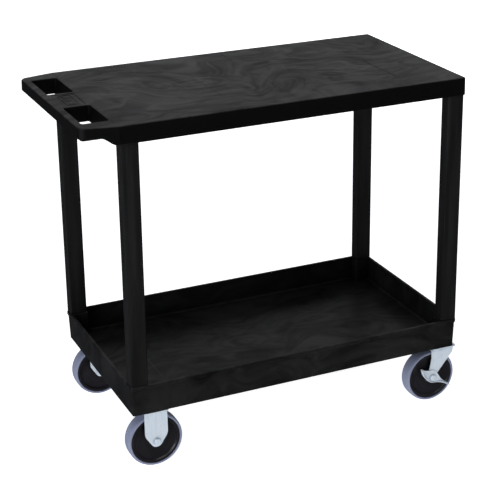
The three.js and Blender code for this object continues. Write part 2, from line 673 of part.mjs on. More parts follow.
// Stamped two-way brake lever: a boat-shaped plate around the axle with a folded wing at each end.
function brakeLever(outward) {
  const inner = FORK_OUTSIDE / 2 + GAP;
  const plateY = outward > 0 ? [inner, inner + LEVER_SHEET] : [-inner - LEVER_SHEET, -inner];
  const wingY = outward > 0
    ? [inner, inner + LEVER_SHEET + LEVER_WING]
    : [-inner - LEVER_SHEET - LEVER_WING, -inner];
  const boat = new THREE.Shape();
  boat.moveTo(-32, 28);
  boat.quadraticCurveTo(-25, 3, -6, -10);
  boat.quadraticCurveTo(8, -18, 27, -20);
  boat.lineTo(33, -19);
  boat.quadraticCurveTo(18, -8, 13, 6);
  boat.quadraticCurveTo(4, 14, -8, 13);
  boat.quadraticCurveTo(-20, 18, -29, 28);
  boat.closePath();
  const backWing = new THREE.Shape();
  backWing.moveTo(-33.5, 28);
  backWing.quadraticCurveTo(-30, 15, -22, 4);
  backWing.lineTo(-20.5, 5.2);
  backWing.quadraticCurveTo(-28, 16, -31.6, 28);
  backWing.closePath();
  const frontWing = new THREE.Shape();
  frontWing.moveTo(20, -20.2);
  frontWing.quadraticCurveTo(34, -20.5, 46, -27.8);
  frontWing.lineTo(46.8, -26);
  frontWing.quadraticCurveTo(35, -18.6, 20, -18.3);
  frontWing.closePath();
  const body = join(sheetXZ(boat, plateY), sheetXZ(backWing, wingY), sheetXZ(frontWing, wingY));
  const reach = inner + LEVER_SHEET + OVERLAP;
  return cut(body, barY(AXLE_RADIUS + GAP, [-reach, reach]));
}

function plateScrew() {
  const flangeTop = PLATE_BOTTOM - GAP;
  const headTop = flangeTop - SCREW_FLANGE;
  const shank = rod(SCREW_RADIUS, [flangeTop - OVERLAP, TUB_BOTTOM + SCREW_REACH], [0, 0], 10);
  const flange = rod(SCREW_FLANGE_RADIUS, [headTop, flangeTop], [0, 0], SMALL_CIRCLE);
  const head = rod(hexRadius(SCREW_HEAD_ACROSS), [headTop - SCREW_HEAD, headTop + OVERLAP / 2], [0, 0], 6);
  return join(shank, flange, head);
}

// ---------------------------------------------------------------- assembly

function at(x, y, ...children) {
  const group = new THREE.Group();
  group.position.set(x, y, 0);
  group.add(...children);
  return group;
}

function wheelSet(prefix, axleX, outward, stack) {
  const centre = [axleX, 0, WHEEL_RADIUS];
  return [
    named(`${prefix}_wheel_core`, wheelCore(), corePlastic, centre),
    named(`${prefix}_tyre`, tyre(), tyreRubber, centre),
    named(`${prefix}_axle_bush`, bush(), bushSteel, centre),
    named(`${prefix}_axle_bolt`, axleBolt(outward, stack), zincPlate, centre),
    named(`${prefix}_axle_nut`, axleNut(outward), zincPlate, centre),
  ];
}

function plateScrews(prefix, spacingX) {
  return screwOffsets(spacingX).map(([x, y], i) => (
    named(`${prefix}_plate_screw_${i + 1}`, plateScrew(), zincPlate, [x, y, 0])
  ));
}

function rigidCaster(side) {
  const prefix = `rigid_${side.name}`;
  return at(RIGID_X, side.sign * CASTER_Y,
    named(`${prefix}_fork`, rigidFork(), zincPlate),
    ...wheelSet(prefix, 0, side.sign, 0),
    ...plateScrews(prefix, RIGID_SCREW_X));
}

function swivelCaster(side) {
  const prefix = `swivel_${side.name}`;
  const axle = [-CASTER_TRAIL, 0, WHEEL_RADIUS];
  return at(KINGPIN_X, side.sign * CASTER_Y,
    named(`${prefix}_plate`, swivelPlate(), zincPlate),
    named(`${prefix}_ball_race`, ballRace(), zincPlate),
    named(`${prefix}_kingpin`, kingpin(), zincPlate),
    named(`${prefix}_fork`, swivelFork(), zincPlate),
    named(`${prefix}_brake_lever`, brakeLever(side.sign), zincPlate, axle),
    ...wheelSet(prefix, -CASTER_TRAIL, side.sign, LEVER_SHEET + GAP),
    ...plateScrews(prefix, SWIVEL_SCREW_X));
}

const cart = new THREE.Group();
cart.add(named('top_shelf', topShelf(), deckPlastic));
cart.add(named('lower_tub', lowerTub(), deckPlastic));
for (const side of SIDES) {
  for (const end of ENDS) {
    const legY = side.sign * (LEG_FACE_Y - LEG_LENGTH_Y / 2);
    cart.add(named(`leg_${end.name}_${side.name}`, leg(), legPlastic, [end.legX, legY, 0]));
  }
}
for (const side of SIDES) {
  cart.add(rigidCaster(side));
  cart.add(swivelCaster(side));
}

export default cart;
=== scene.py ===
import json
import logging
import math
from dataclasses import dataclass, field
from enum import Enum
from typing import Callable, Iterable, Sequence

import bmesh
import bpy
from mathutils import Matrix, Vector


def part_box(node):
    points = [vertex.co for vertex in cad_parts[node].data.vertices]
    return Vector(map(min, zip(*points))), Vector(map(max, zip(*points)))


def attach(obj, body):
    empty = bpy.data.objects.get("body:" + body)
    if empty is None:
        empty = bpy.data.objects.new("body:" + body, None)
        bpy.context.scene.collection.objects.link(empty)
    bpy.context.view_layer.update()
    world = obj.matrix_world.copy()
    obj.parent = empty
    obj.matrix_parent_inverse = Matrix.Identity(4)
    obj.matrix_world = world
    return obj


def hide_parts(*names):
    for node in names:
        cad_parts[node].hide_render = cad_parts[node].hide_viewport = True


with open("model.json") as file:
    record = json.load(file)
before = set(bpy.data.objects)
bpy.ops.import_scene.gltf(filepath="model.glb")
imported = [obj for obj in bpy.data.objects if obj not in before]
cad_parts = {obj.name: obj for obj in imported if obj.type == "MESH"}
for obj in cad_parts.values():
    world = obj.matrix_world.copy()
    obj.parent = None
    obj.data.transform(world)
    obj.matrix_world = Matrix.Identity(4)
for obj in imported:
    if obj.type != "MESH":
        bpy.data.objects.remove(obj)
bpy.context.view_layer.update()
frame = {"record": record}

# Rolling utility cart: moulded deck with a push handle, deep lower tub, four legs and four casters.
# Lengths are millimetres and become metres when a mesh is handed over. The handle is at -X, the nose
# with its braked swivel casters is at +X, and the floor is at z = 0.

logging.basicConfig(level=logging.INFO, format="%(name)s: %(message)s")
LOG = logging.getLogger("cart")

MM = 0.001
QUARTER = math.pi / 2
HEX_CHAMFER = 0.1
HEX_END = 0.475
HEX_SLOPE = 1.4
CREASE = 32.0
LEAST_RADIUS = 2.5
EDGE_STEPS = 5
RIM_STEPS = 3
WHEEL_FACETS = 160
CUT_PAST = 2.0
DRILL_REACH = 9.0
TENON_INSET = 4.7
SOCKET_LEDGE = 1.5
AXLE_HOLE = 4.3
AXLE_HEX = 13.0
BODY_OF = {node: body for body, nodes in frame["record"]["behaviour"]["bodies"].items() for node in nodes}

Plan = list[tuple[float, float]]
Ring = list[Vector]
Socket = bpy.types.NodeSocket


class Axis(Enum):
    """The axis that a turned piece is turned about."""

    Y = "y"
    Z = "z"


class Side(Enum):
    """The cart's two long sides."""

    RIGHT = -1
    LEFT = 1

    @property
    def word(self) -> str:
        """The side's word in node names."""
        return self.name.lower()


class End(Enum):
    """The cart's two short ends."""

    HANDLE = -1
    NOSE = 1

    @property
    def word(self) -> str:
        """The end's word in node names."""
        return self.name.lower()


class Slot(Enum):
    """The record's material slots."""

    DECK = "deck_plastic"
    LEG = "leg_plastic"
    TYRE = "tyre"
    CORE = "wheel_core"
    ZINC = "zinc_plate"
    BUSH = "bush_steel"


@dataclass(frozen=True)
class Box:
    """A node's box in millimetres."""

    low: Vector
    high: Vector

    @classmethod
    def of(cls, node: str) -> "Box":
        """Reads a node's box from the frame.

        Args:
            node: The node's name.

        Returns:
            The node's box in millimetres.
        """
        low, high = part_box(node)
        return cls(low / MM, high / MM)

    @property
    def centre(self) -> Vector:
        """The middle of the box."""
        return (self.low + self.high) / 2

    @property
    def size(self) -> Vector:
        """The box's three lengths."""
        return self.high - self.low


# ------------------------------------------------------------------------------------------ outlines


def rounded_path(corners: Sequence[tuple[float, float, float]], steps: int = 6) -> Plan:
    """Rounds the corners of a closed path.

    Args:
        corners: Each corner as x, y and its radius, where 0 keeps it sharp.
        steps: How many straight pieces each rounded corner takes.

    Returns:
        The path's points.
    """
    points: Plan = []
    count = len(corners)
    for i, (x, y, radius) in enumerate(corners):
        here = Vector((x, y))
        if radius <= 0:
            points.append((x, y))
            continue
        before = Vector(corners[i - 1][:2]) - here
        after = Vector(corners[(i + 1) % count][:2]) - here
        half = before.angle(after) / 2
        reach = min(radius / math.tan(half), before.length * 0.49, after.length * 0.49)
        middle = here + (before.normalized() + after.normalized()).normalized() * (reach / math.cos(half))
        start = here + before.normalized() * reach - middle
        end = here + after.normalized() * reach - middle
        sweep = math.atan2(start.x * end.y - start.y * end.x, start.dot(end))
        for k in range(steps + 1):
            turned = Matrix.Rotation(sweep * k / steps, 2) @ start
            points.append((middle.x + turned.x, middle.y + turned.y))
    return points


def rounded_rectangle(x: Sequence[float], y: Sequence[float], radius: float, steps: int = 6) -> Plan:
    """A rectangle with rounded corners, anticlockwise.

    Args:
        x: Its two ends along X.
        y: Its two ends along Y.
        radius: The corners' radius.
        steps: Straight pieces in each corner.

    Returns:
        The outline's points.
    """
    corners = [(x[0], y[0], radius), (x[1], y[0], radius), (x[1], y[1], radius), (x[0], y[1], radius)]
    return rounded_path(corners, steps)


def inset_corners(corners: Sequence[tuple[float, float, float]],
                  inset: float) -> list[tuple[float, float, float]]:
    """Moves the sides of an anticlockwise outline inwards while its corners keep their centres.

    Args:
        corners: Each corner as x, y and its radius.
        inset: How far the sides move in.

    Returns:
        The moved corners.
    """
    moved = inset_plan([(x, y) for x, y, _ in corners], inset)
    radii = [max(radius - inset, LEAST_RADIUS) if radius > 0 else 0.0 for _, _, radius in corners]
    return [(x, y, radius) for (x, y), radius in zip(moved, radii)]


def inset_plan(plan: Plan, inset: float) -> Plan:
    """Moves the sides of a closed anticlockwise outline inwards.

    Args:
        plan: The outline.
        inset: How far the sides move in, or out if it is below 0.

    Returns:
        The moved outline, with as many points.
    """
    moved: Plan = []
    for i, (x, y) in enumerate(plan):
        before = Vector((x, y)) - Vector(plan[i - 1])
        after = Vector(plan[(i + 1) % len(plan)]) - Vector((x, y))
        incoming = Vector((-before.y, before.x)).normalized()
        outgoing = Vector((-after.y, after.x)).normalized()
        normal = (incoming + outgoing).normalized()
        stretch = max(normal.dot(outgoing), 0.5)
        moved.append((x + normal.x * inset / stretch, y + normal.y * inset / stretch))
    return moved


def quarter_turn(steps: int) -> list[float]:
    """Angles from 0 to a quarter turn, both included."""
    return [QUARTER * k / steps for k in range(steps + 1)]


def rim(edge: float, steps: int) -> list[tuple[float, float]]:
    """Rounds an outer edge, from the face to the side.

    Args:
        edge: The rounding's radius.
        steps: Straight pieces in it.

    Returns:
        Pairs of how far in from the side and how far from the face each line of the rounding lies.
    """
    return [(edge * (1 - math.sin(a)), edge * (1 - math.cos(a))) for a in quarter_turn(steps)]


def smooth(value: float) -> float:
    """Eases a share from 0 to 1 with flat ends."""
    held = min(max(value, 0.0), 1.0)
    return held * held * (3 - 2 * held)


def between(table: Sequence[tuple[float, float]], key: float) -> float:
    """Reads a value from a table, straight between its keys and held at both ends.

    Args:
        table: Pairs of key and value, with rising keys.
        key: Where to read.

    Returns:
        The value.
    """
    if key <= table[0][0]:
        return table[0][1]
    for (low, first), (high, last) in zip(table, table[1:]):
        if key <= high:
            return first + (last - first) * (key - low) / (high - low)
    return table[-1][1]


def curved(points: Sequence[tuple[float, float]], count: int) -> Plan:
    """Points on a smooth curve through the given ones.

    Args:
        points: The curve's own points.
        count: How many points to give back.

    Returns:
        The points on the curve.
    """
    padded = [points[0], *points, points[-1]]
    result: Plan = []
    for share in spaced(0.0, len(points) - 1.0001, count):
        i = int(share)
        t = share - i
        a, b, c, d = (Vector(padded[i + k]) for k in range(4))
        at = 0.5 * (2 * b + (c - a) * t + (2 * a - 5 * b + 4 * c - d) * t * t
                    + (3 * b - a - 3 * c + d) * t * t * t)
        result.append((at.x, at.y))
    return result


def spaced(first: float, last: float, count: int) -> list[float]:
    """Evenly spaced values, both ends included."""
    return [first + (last - first) * k / (count - 1) for k in range(count)]


def rod(radius: float, low: float, high: float) -> Plan:
    """The profile that turns into a plain rod."""
    return [(0.0, low), (radius, low), (radius, high), (0.0, high)]


# ------------------------------------------------------------------------------------------ mesh work


def around(centre: Vector, axis: Axis, radius: float, angle: float, level: float) -> Vector:
    """A point about an axis.

    Args:
        centre: A point on the axis.
        axis: The axis.
        radius: How far from the axis.
        angle: How far around it, in radians.
        level: How far along it.

    Returns:
        The point.
    """
    first, second = radius * math.cos(angle), radius * math.sin(angle)
    if axis is Axis.Y:
        return centre + Vector((first, level, second))
    return centre + Vector((first, second, level))


class MeshPen:
    """Collects the closed shells of one piece, in millimetres."""

    def __init__(self) -> None:
        """Starts an empty mesh."""
        self.mesh = bmesh.new()

    def loft(self, rings: Iterable[Ring], loop: bool = False) -> "MeshPen":
        """Skins a row of rings that have equally many points.

        Args:
            rings: The rings in order.
            loop: Whether the last ring joins the first. Otherwise both ends are capped.

        Returns:
            The pen.
        """
        rows = [[self.mesh.verts.new(point) for point in ring] for ring in rings]
        pairs = list(zip(rows, rows[1:]))
        if loop:
            pairs.append((rows[-1], rows[0]))
        else:
            self.mesh.faces.new(list(reversed(rows[0])))
            self.mesh.faces.new(rows[-1])
        for lower, upper in pairs:
            for i in range(len(lower)):
                j = (i + 1) % len(lower)
                self.mesh.faces.new((lower[i], lower[j], upper[j], upper[i]))
        return self

    def turned(self, profile: Plan, centre: Vector, axis: Axis, steps: int = 96) -> "MeshPen":
        """Turns a closed profile about an axis.

        Args:
            profile: Points as radius and distance along the axis. Points at radius 0 become poles.
            centre: A point on the axis.
            axis: The axis.
            steps: Facets around.

        Returns:
            The pen.
        """
        rings = []
        for k in range(steps):
            angle = 2 * math.pi * k / steps
            rings.append([around(centre, axis, radius, angle, level) for radius, level in profile])
        return self.loft(rings, loop=True)

    def nut(self, across: float, span: Sequence[float], centre: Vector, axis: Axis, bore: float = 0.0,
            chamfers: tuple[bool, bool] = (True, True), steps: int = 72) -> "MeshPen":
        """A hexagonal bar with the corners of its ends turned off.

        Args:
            across: The hexagon's width across its flats.
            span: Its two ends along the axis, in either order.
            centre: A point on the axis.
            axis: The axis.
            bore: The radius of a hole through it, or 0.
            chamfers: Whether each end is chamfered.
            steps: Facets around.

        Returns:
            The pen.
        """
        first, last = span
        length = abs(last - first)
        way = 1.0 if last > first else -1.0
        depth = min(across * HEX_CHAMFER, length * 0.45)
        offsets = [depth * share for share in (0.0, 0.15, 0.35, 0.6, 1.0)]
        levels = offsets + [length - offset for offset in reversed(offsets)]
        rings = []
        for level in levels:
            limit = across
            if chamfers[0]:
                limit = min(limit, across * HEX_END + level * HEX_SLOPE)
            if chamfers[1]:
                limit = min(limit, across * HEX_END + (length - level) * HEX_SLOPE)
            ring = []
            for k in range(steps):
                angle = 2 * math.pi * k / steps
                flat = across / 2 / math.cos(angle % (math.pi / 3) - math.pi / 6)
                ring.append(around(centre, axis, min(flat, limit), angle, first + way * level))
            rings.append(ring)
        if bore > 0:
            for level in (last, first):
                angles = [2 * math.pi * k / steps for k in range(steps)]
                rings.append([around(centre, axis, bore, angle, level) for angle in angles])
        return self.loft(rings, loop=bore > 0)

    def slab(self, plan: Plan, span: Sequence[float], edge: float = 0.0) -> "MeshPen":
        """An upright prism over a plan, with both its rims rounded.

        Args:
            plan: The outline, anticlockwise.
            span: Its lower and upper face.
            edge: The rims' radius, or 0 for sharp rims.

        Returns:
            The pen.
        """
        lines = rim(edge, RIM_STEPS) if edge > 0 else [(0.0, 0.0)]
        rows = [(inset, span[0] + drop) for inset, drop in lines]
        rows += [(inset, span[1] - drop) for inset, drop in reversed(lines)]
        rings = []
        for inset, level in rows:
            outline = inset_plan(plan, inset) if inset > 0 else plan
            rings.append([Vector((a, b, level)) for a, b in outline])
        return self.loft(rings)

    def piece(self, name: str, crease: float = CREASE) -> bpy.types.Object:
        """Hands the mesh over as an object in metres.

        Args:
            name: The object's name.
            crease: Edges that turn by more degrees than this stay sharp.

        Returns:
            The new object.
        """
        bmesh.ops.remove_doubles(self.mesh, verts=self.mesh.verts, dist=1e-4)
        bmesh.ops.recalc_face_normals(self.mesh, faces=self.mesh.faces)
        bmesh.ops.scale(self.mesh, vec=(MM, MM, MM), verts=self.mesh.verts)
        data = bpy.data.meshes.new(name)
        self.mesh.to_mesh(data)
        self.mesh.free()
        piece = bpy.data.objects.new(name, data)
        bpy.context.scene.collection.objects.link(piece)
        shade(piece, crease)
        return piece


def shade(piece: bpy.types.Object, crease: float) -> None:
    """Shades a piece smooth between its creases.

    Args:
        piece: The mesh object.
        crease: Edges that turn by more degrees than this stay sharp.
    """
    piece.data.shade_smooth()
    piece.data.set_sharp_from_angle(angle=math.radians(crease))


def settle(piece: bpy.types.Object) -> None:
    """Writes a piece's modifiers into its mesh.

    Args:
        piece: The mesh object.
    """
    bpy.context.view_layer.update()
    evaluated = piece.evaluated_get(bpy.context.evaluated_depsgraph_get())
    data = bpy.data.meshes.new_from_object(evaluated)
    old = piece.data
    piece.modifiers.clear()
    piece.data = data
    data.name = piece.name
    bpy.data.meshes.remove(old)
    shade(piece, CREASE)


def combine(piece: bpy.types.Object, tools: Sequence[bpy.types.Object], add: bool = False) -> None:
    """Adds solids to a piece, or cuts them out of it, and removes them.

    Args:
        piece: The mesh object.
        tools: The solids.
        add: Whether they are added.
    """
    for tool in tools:
        step = piece.modifiers.new("solid", "BOOLEAN")
        step.operation = "UNION" if add else "DIFFERENCE"
        step.solver = "EXACT"
        step.object = tool
    settle(piece)
    for tool in tools:
        data = tool.data
        bpy.data.objects.remove(tool)
        bpy.data.meshes.remove(data)


def block(x: Sequence[float], y: Sequence[float], z: Sequence[float], radius: float = 0.0,
          edge: float = 0.0) -> bpy.types.Object:
    """A solid block for joining or cutting.

    Args:
        x: Its ends along X.
        y: Its ends along Y.
        z: Its ends along Z.
        radius: Its upright corners' radius.
        edge: Its rims' radius.

    Returns:
        The solid.
    """
    return MeshPen().slab(rounded_rectangle(x, y, radius, 5 if radius else 1), z, edge).piece("tool")


def pressed_sheet(name: str, grid: list[Ring], thickness: float, edge: float = 0.45) -> bpy.types.Object:
    """Sheet metal on a grid of points along the middle of its thickness.

    Args:
        name: The object's name.
        grid: Rows of points in millimetres.
        thickness: The metal's thickness.
        edge: The radius of its cut edges.

    Returns:
        The thick sheet.
    """
    mesh = bmesh.new()
    rows = [[mesh.verts.new(point * MM) for point in row] for row in grid]
    for lower, upper in zip(rows, rows[1:]):
        for i in range(len(lower) - 1):
            mesh.faces.new((lower[i], lower[i + 1], upper[i + 1], upper[i]))
    data = bpy.data.meshes.new(name)
    mesh.to_mesh(data)
    mesh.free()
    piece = bpy.data.objects.new(name, data)
    bpy.context.scene.collection.objects.link(piece)
    thicken = piece.modifiers.new("thickness", "SOLIDIFY")
    thicken.thickness = thickness * MM
    thicken.offset = 0
    thicken.use_even_offset = True
    soften = piece.modifiers.new("edges", "BEVEL")
    soften.width = edge * MM
    soften.segments = 2
    soften.limit_method = "ANGLE"
    soften.angle_limit = math.radians(60)
    settle(piece)
    mesh = bmesh.new()
    mesh.from_mesh(piece.data)
    bmesh.ops.recalc_face_normals(mesh, faces=mesh.faces)
    mesh.to_mesh(piece.data)
    mesh.free()
    shade(piece, 40)
    return piece


def place(piece: bpy.types.Object, nodes: Sequence[str], finish: bpy.types.Material) -> None:
    """Dresses a finished piece and sets it on the body of the nodes that it stands for.

    Args:
        piece: The mesh object.
        nodes: The nodes that it stands for.
        finish: Its material.
    """
    piece.data.materials.clear()
    piece.data.materials.append(finish)
    even = piece.modifiers.new("even_shading", "WEIGHTED_NORMAL")
    even.mode = "FACE_AREA"
    even.keep_sharp = True
    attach(piece, BODY_OF[nodes[0]])
    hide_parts(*nodes)
    LOG.info("%s: %d faces, on %s", piece.name, len(piece.data.polygons), BODY_OF[nodes[0]])


# ------------------------------------------------------------------------------------------ node wiring


class Wiring:
    """Adds and links nodes in a material's, a world's or a group's tree."""

    def __init__(self, tree: bpy.types.NodeTree) -> None:
        """Keeps the tree.

        Args:
            tree: The node tree to work in.
        """
        self.tree = tree

    def add(self, kind: str, values: dict[str | int, object] | None = None,
            **settings: object) -> bpy.types.Node:
        """Adds a node.

        Args:
            kind: The node's type, without its ShaderNode prefix.
            values: What each input gets: an output socket to link, or a plain value.
            settings: The node's own options.

        Returns:
            The node.
        """
        node = self.tree.nodes.new("ShaderNode" + kind)
        for key, value in settings.items():
            setattr(node, key, value)
        for key, value in (values or {}).items():
            if isinstance(value, bpy.types.NodeSocket):
                self.tree.links.new(value, node.inputs[key])
            else:
                node.inputs[key].default_value = value
        return node

    def math(self, operation: str, a: Socket | float, b: Socket | float = 0.0, clamp: bool = False) -> Socket:
        """A Math node's result."""
        return self.add("Math", {0: a, 1: b}, operation=operation, use_clamp=clamp).outputs[0]

    def vector_math(self, operation: str, a: object, b: object = (0.0, 0.0, 0.0)) -> bpy.types.Node:
        """A Vector Math node."""
        return self.add("VectorMath", {0: a, 1: b}, operation=operation)

    def spread(self, value: Socket, low: float, high: float, to_low: float = 0.0,
               to_high: float = 1.0) -> Socket:
        """Maps a value from one range to another, smoothly and clamped."""
        values = {"Value": value, "From Min": low, "From Max": high, "To Min": to_low, "To Max": to_high}
        return self.add("MapRange", values, interpolation_type="SMOOTHSTEP").outputs[0]

    def blend(self, share: Socket | float, a: object, b: object) -> Socket:
        """Mixes two colours.

        Args:
            share: How much of the second shows, from 0 to 1.
            a: The first colour, or its socket.
            b: The second colour, or its socket.

        Returns:
            The mixed colour.
        """
        node = self.tree.nodes.new("ShaderNodeMix")
        node.data_type = "RGBA"
        for key, value in ((0, share), (6, a), (7, b)):
            if isinstance(value, bpy.types.NodeSocket):
                self.tree.links.new(value, node.inputs[key])
            else:
                node.inputs[key].default_value = value
        return node.outputs[2]

    def noise(self, vector: Socket, scale: Socket | float, detail: float = 4.0, roughness: float = 0.5,
              warp: float = 0.0) -> bpy.types.Node:
        """A Noise Texture node."""
        values = {"Vector": vector, "Scale": scale, "Detail": detail}
        values |= {"Roughness": roughness, "Distortion": warp}
        return self.add("TexNoise", values)


class Effect:
    """A shader node group that several finishes share."""

    def __init__(self, name: str, inputs: dict[str, object], outputs: dict[str, str]) -> None:
        """Makes the group's sockets.

        Args:
            name: The group's name.
            inputs: Each input's name and its starting value, a number or a tuple of three.
            outputs: Each output's name and its socket type.
        """
        self.tree = bpy.data.node_groups.new(name, "ShaderNodeTree")
        for key, value in inputs.items():
            kind = "NodeSocketVector" if isinstance(value, tuple) else "NodeSocketFloat"
            made = self.tree.interface.new_socket(name=key, in_out="INPUT", socket_type=kind)
            made.default_value = value
        for key, kind in outputs.items():
            self.tree.interface.new_socket(name=key, in_out="OUTPUT", socket_type=kind)
        self.wiring = Wiring(self.tree)
        self.given = self.tree.nodes.new("NodeGroupInput").outputs
        self.wanted = self.tree.nodes.new("NodeGroupOutput").inputs

    def put(self, name: str, socket: Socket) -> None:
        """Sends a socket to one of the group's outputs."""
        self.tree.links.new(socket, self.wanted[name])

    def used(self, wiring: Wiring, values: dict[str, object]) -> bpy.types.NodeOutputs:
        """Places the group in a tree.

        Args:
            wiring: The tree's wiring.
            values: What the group's inputs get.

        Returns:
            The placed group's outputs.
        """
        node = wiring.tree.nodes.new("ShaderNodeGroup")
        node.node_tree = self.tree
        for key, value in values.items():
            if isinstance(value, bpy.types.NodeSocket):
                wiring.tree.links.new(value, node.inputs[key])
            else:
                node.inputs[key].default_value = value
        return node.outputs


FLOAT = "NodeSocketFloat"


def moulded_grain() -> Effect:
    """The fine leathery skin of a mould, as a height.

    Returns:
        The group.
    """
    effect = Effect("moulded_grain", {"Vector": (0.0, 0.0, 0.0), "Scale": 700.0}, {"Height": FLOAT})
    w = effect.wiring
    cells = w.add("TexVoronoi", {"Vector": effect.given["Vector"], "Scale": effect.given["Scale"]},
                  feature="SMOOTH_F1")
    coarse = w.math("MULTIPLY", effect.given["Scale"], 0.35)
    lumps = w.noise(effect.given["Vector"], coarse, 3.0)
    total = w.math("ADD", cells.outputs["Distance"], lumps.outputs["Fac"])
    effect.put("Height", total)
    return effect


def seam_line() -> Effect:
    """A thin line where two fronts of melt met, from one point to another, as a mask.

    Returns:
        The group.
    """
    inputs = {"Vector": (0.0, 0.0, 0.0), "From": (0.0, 0.0, 0.0), "To": (0.1, 0.0, 0.0), "Width": 0.003}
    effect = Effect("seam_line", inputs, {"Mask": FLOAT})
    w = effect.wiring
    bend = w.noise(effect.given["Vector"], 14.0, 2.0).outputs["Color"]
    offset = w.add("VectorMath", {0: bend, "Scale": 0.012}, operation="SCALE").outputs[0]
    moved = w.vector_math("ADD", effect.given["Vector"], offset).outputs[0]
    reach = w.vector_math("SUBTRACT", moved, effect.given["From"]).outputs[0]
    whole = w.vector_math("SUBTRACT", effect.given["To"], effect.given["From"]).outputs[0]
    dot = w.vector_math("DOT_PRODUCT", reach, whole).outputs["Value"]
    square = w.vector_math("DOT_PRODUCT", whole, whole).outputs["Value"]
    share = w.math("DIVIDE", dot, square, clamp=True)
    along = w.add("VectorMath", {0: whole, "Scale": share}, operation="SCALE").outputs[0]
    across = w.vector_math("SUBTRACT", reach, along).outputs[0]
    flat = w.vector_math("MULTIPLY", across, (1.0, 1.0, 0.0)).outputs[0]
    distance = w.vector_math("LENGTH", flat).outputs["Value"]
    effect.put("Mask", w.math("SUBTRACT", 1.0, w.math("DIVIDE", distance, effect.given["Width"]), clamp=True))
    return effect


def flow_marks() -> Effect:
    """Streaks and clouds that a slow-moving melt leaves in a moulding, as masks.

    Returns:
        The group.
    """
    inputs = {"Vector": (0.0, 0.0, 0.0), "Stretch": (2.2, 9.0, 9.0), "Warp": 0.5, "Cut": 0.5}
    effect = Effect("flow_marks", inputs, {"Mask": FLOAT, "Clouds": FLOAT})
    w = effect.wiring
    wide = w.noise(effect.given["Vector"], 3.1, 2.0)
    centred = w.vector_math("SUBTRACT", wide.outputs["Color"], (0.5, 0.5, 0.5)).outputs[0]
    scaled = w.add("VectorMath", {0: centred, "Scale": effect.given["Warp"]}, operation="SCALE").outputs[0]
    warped = w.vector_math("ADD", effect.given["Vector"], scaled).outputs[0]
    stretched = w.vector_math("MULTIPLY", warped, effect.given["Stretch"]).outputs[0]
    streaks = w.noise(stretched, 2.3, 8.0, 0.62, 1.1)
    clouds = w.noise(effect.given["Vector"], 5.2, 3.0, 0.55, 0.4)
    edge = w.math("SUBTRACT", streaks.outputs["Fac"], w.math("MULTIPLY", effect.given["Cut"], 0.72))
    effect.put("Mask", w.math("MULTIPLY", edge, 3.4, clamp=True))
    effect.put("Clouds", w.spread(clouds.outputs["Fac"], 0.32, 0.7))
    return effect


def gate_swirl() -> Effect:
    """The eye-shaped swirl around the point where the melt entered the mould, as a mask.

    Returns:
        The group.
    """
    inputs = {"Vector": (0.0, 0.0, 0.0), "Centre": (0.0, 0.0, 0.0), "Reach": 0.12}
    effect = Effect("gate_swirl", inputs, {"Mask": FLOAT})
    w = effect.wiring
    away = w.vector_math("SUBTRACT", effect.given["Vector"], effect.given["Centre"]).outputs[0]
    flat = w.vector_math("MULTIPLY", away, (1.0, 2.1, 1.0)).outputs[0]
    distance = w.vector_math("LENGTH", flat).outputs["Value"]
    wander = w.noise(effect.given["Vector"], 9.0, 3.0).outputs["Fac"]
    bent = w.math("ADD", distance, w.math("MULTIPLY", wander, 0.11))
    waves = w.math("SINE", w.math("MULTIPLY", bent, 150.0))
    share = w.math("DIVIDE", distance, effect.given["Reach"])
    fade = w.math("SUBTRACT", 1.0, share, clamp=True)
    lifted = w.math("ADD", w.math("MULTIPLY", waves, 0.5), 0.5)
    effect.put("Mask", w.math("MULTIPLY", lifted, fade, clamp=True))
    return effect


def rib_shadow() -> Effect:
    """Faint lines where ribs behind a plate show through its face, as a mask.

    Returns:
        The group.
    """
    inputs = {"Vector": (0.0, 0.0, 0.0), "Spacing": 0.13, "Start": 0.0, "Width": 0.0022}
    effect = Effect("rib_shadow", inputs, {"Mask": FLOAT})
    w = effect.wiring
    parts = w.add("SeparateXYZ", {0: effect.given["Vector"]}).outputs
    along = w.math("SUBTRACT", parts[0], effect.given["Start"])
    back = w.math("PINGPONG", along, w.math("MULTIPLY", effect.given["Spacing"], 0.5))
    near = w.math("SUBTRACT", 1.0, w.math("DIVIDE", back, effect.given["Width"]), clamp=True)
    patches = w.noise(effect.given["Vector"], 6.0, 2.0).outputs["Fac"]
    effect.put("Mask", w.math("MULTIPLY", near, w.spread(patches, 0.48, 0.62)))
    return effect


def edge_wear() -> Effect:
    """Rubbed outer edges, as a mask.

    Returns:
        The group.
    """
    inputs = {"Vector": (0.0, 0.0, 0.0), "Patchiness": 60.0}
    effect = Effect("edge_wear", inputs, {"Mask": FLOAT})
    w = effect.wiring
    round_normal = w.add("Bevel", {"Radius": 0.0016}, samples=4).outputs[0]
    true_normal = w.add("NewGeometry").outputs["Normal"]
    alike = w.vector_math("DOT_PRODUCT", round_normal, true_normal).outputs["Value"]
    turned = w.spread(alike, 0.995, 0.9)
    patches = w.noise(effect.given["Vector"], effect.given["Patchiness"], 5.0).outputs["Fac"]
    effect.put("Mask", w.math("MULTIPLY", turned, w.spread(patches, 0.42, 0.66)))
    return effect


def contact_shade() -> Effect:
    """Painted shade where faces meet and in hollows, from ambient occlusion, as a mask.

    Returns:
        The group.
    """
    effect = Effect("contact_shade", {"Distance": 0.006}, {"Mask": FLOAT})
    w = effect.wiring
    nearby = w.add("AmbientOcclusion", {"Distance": effect.given["Distance"]}, samples=6)
    open_share = nearby.outputs["AO"]
    effect.put("Mask", w.spread(open_share, 0.95, 0.35))
    return effect


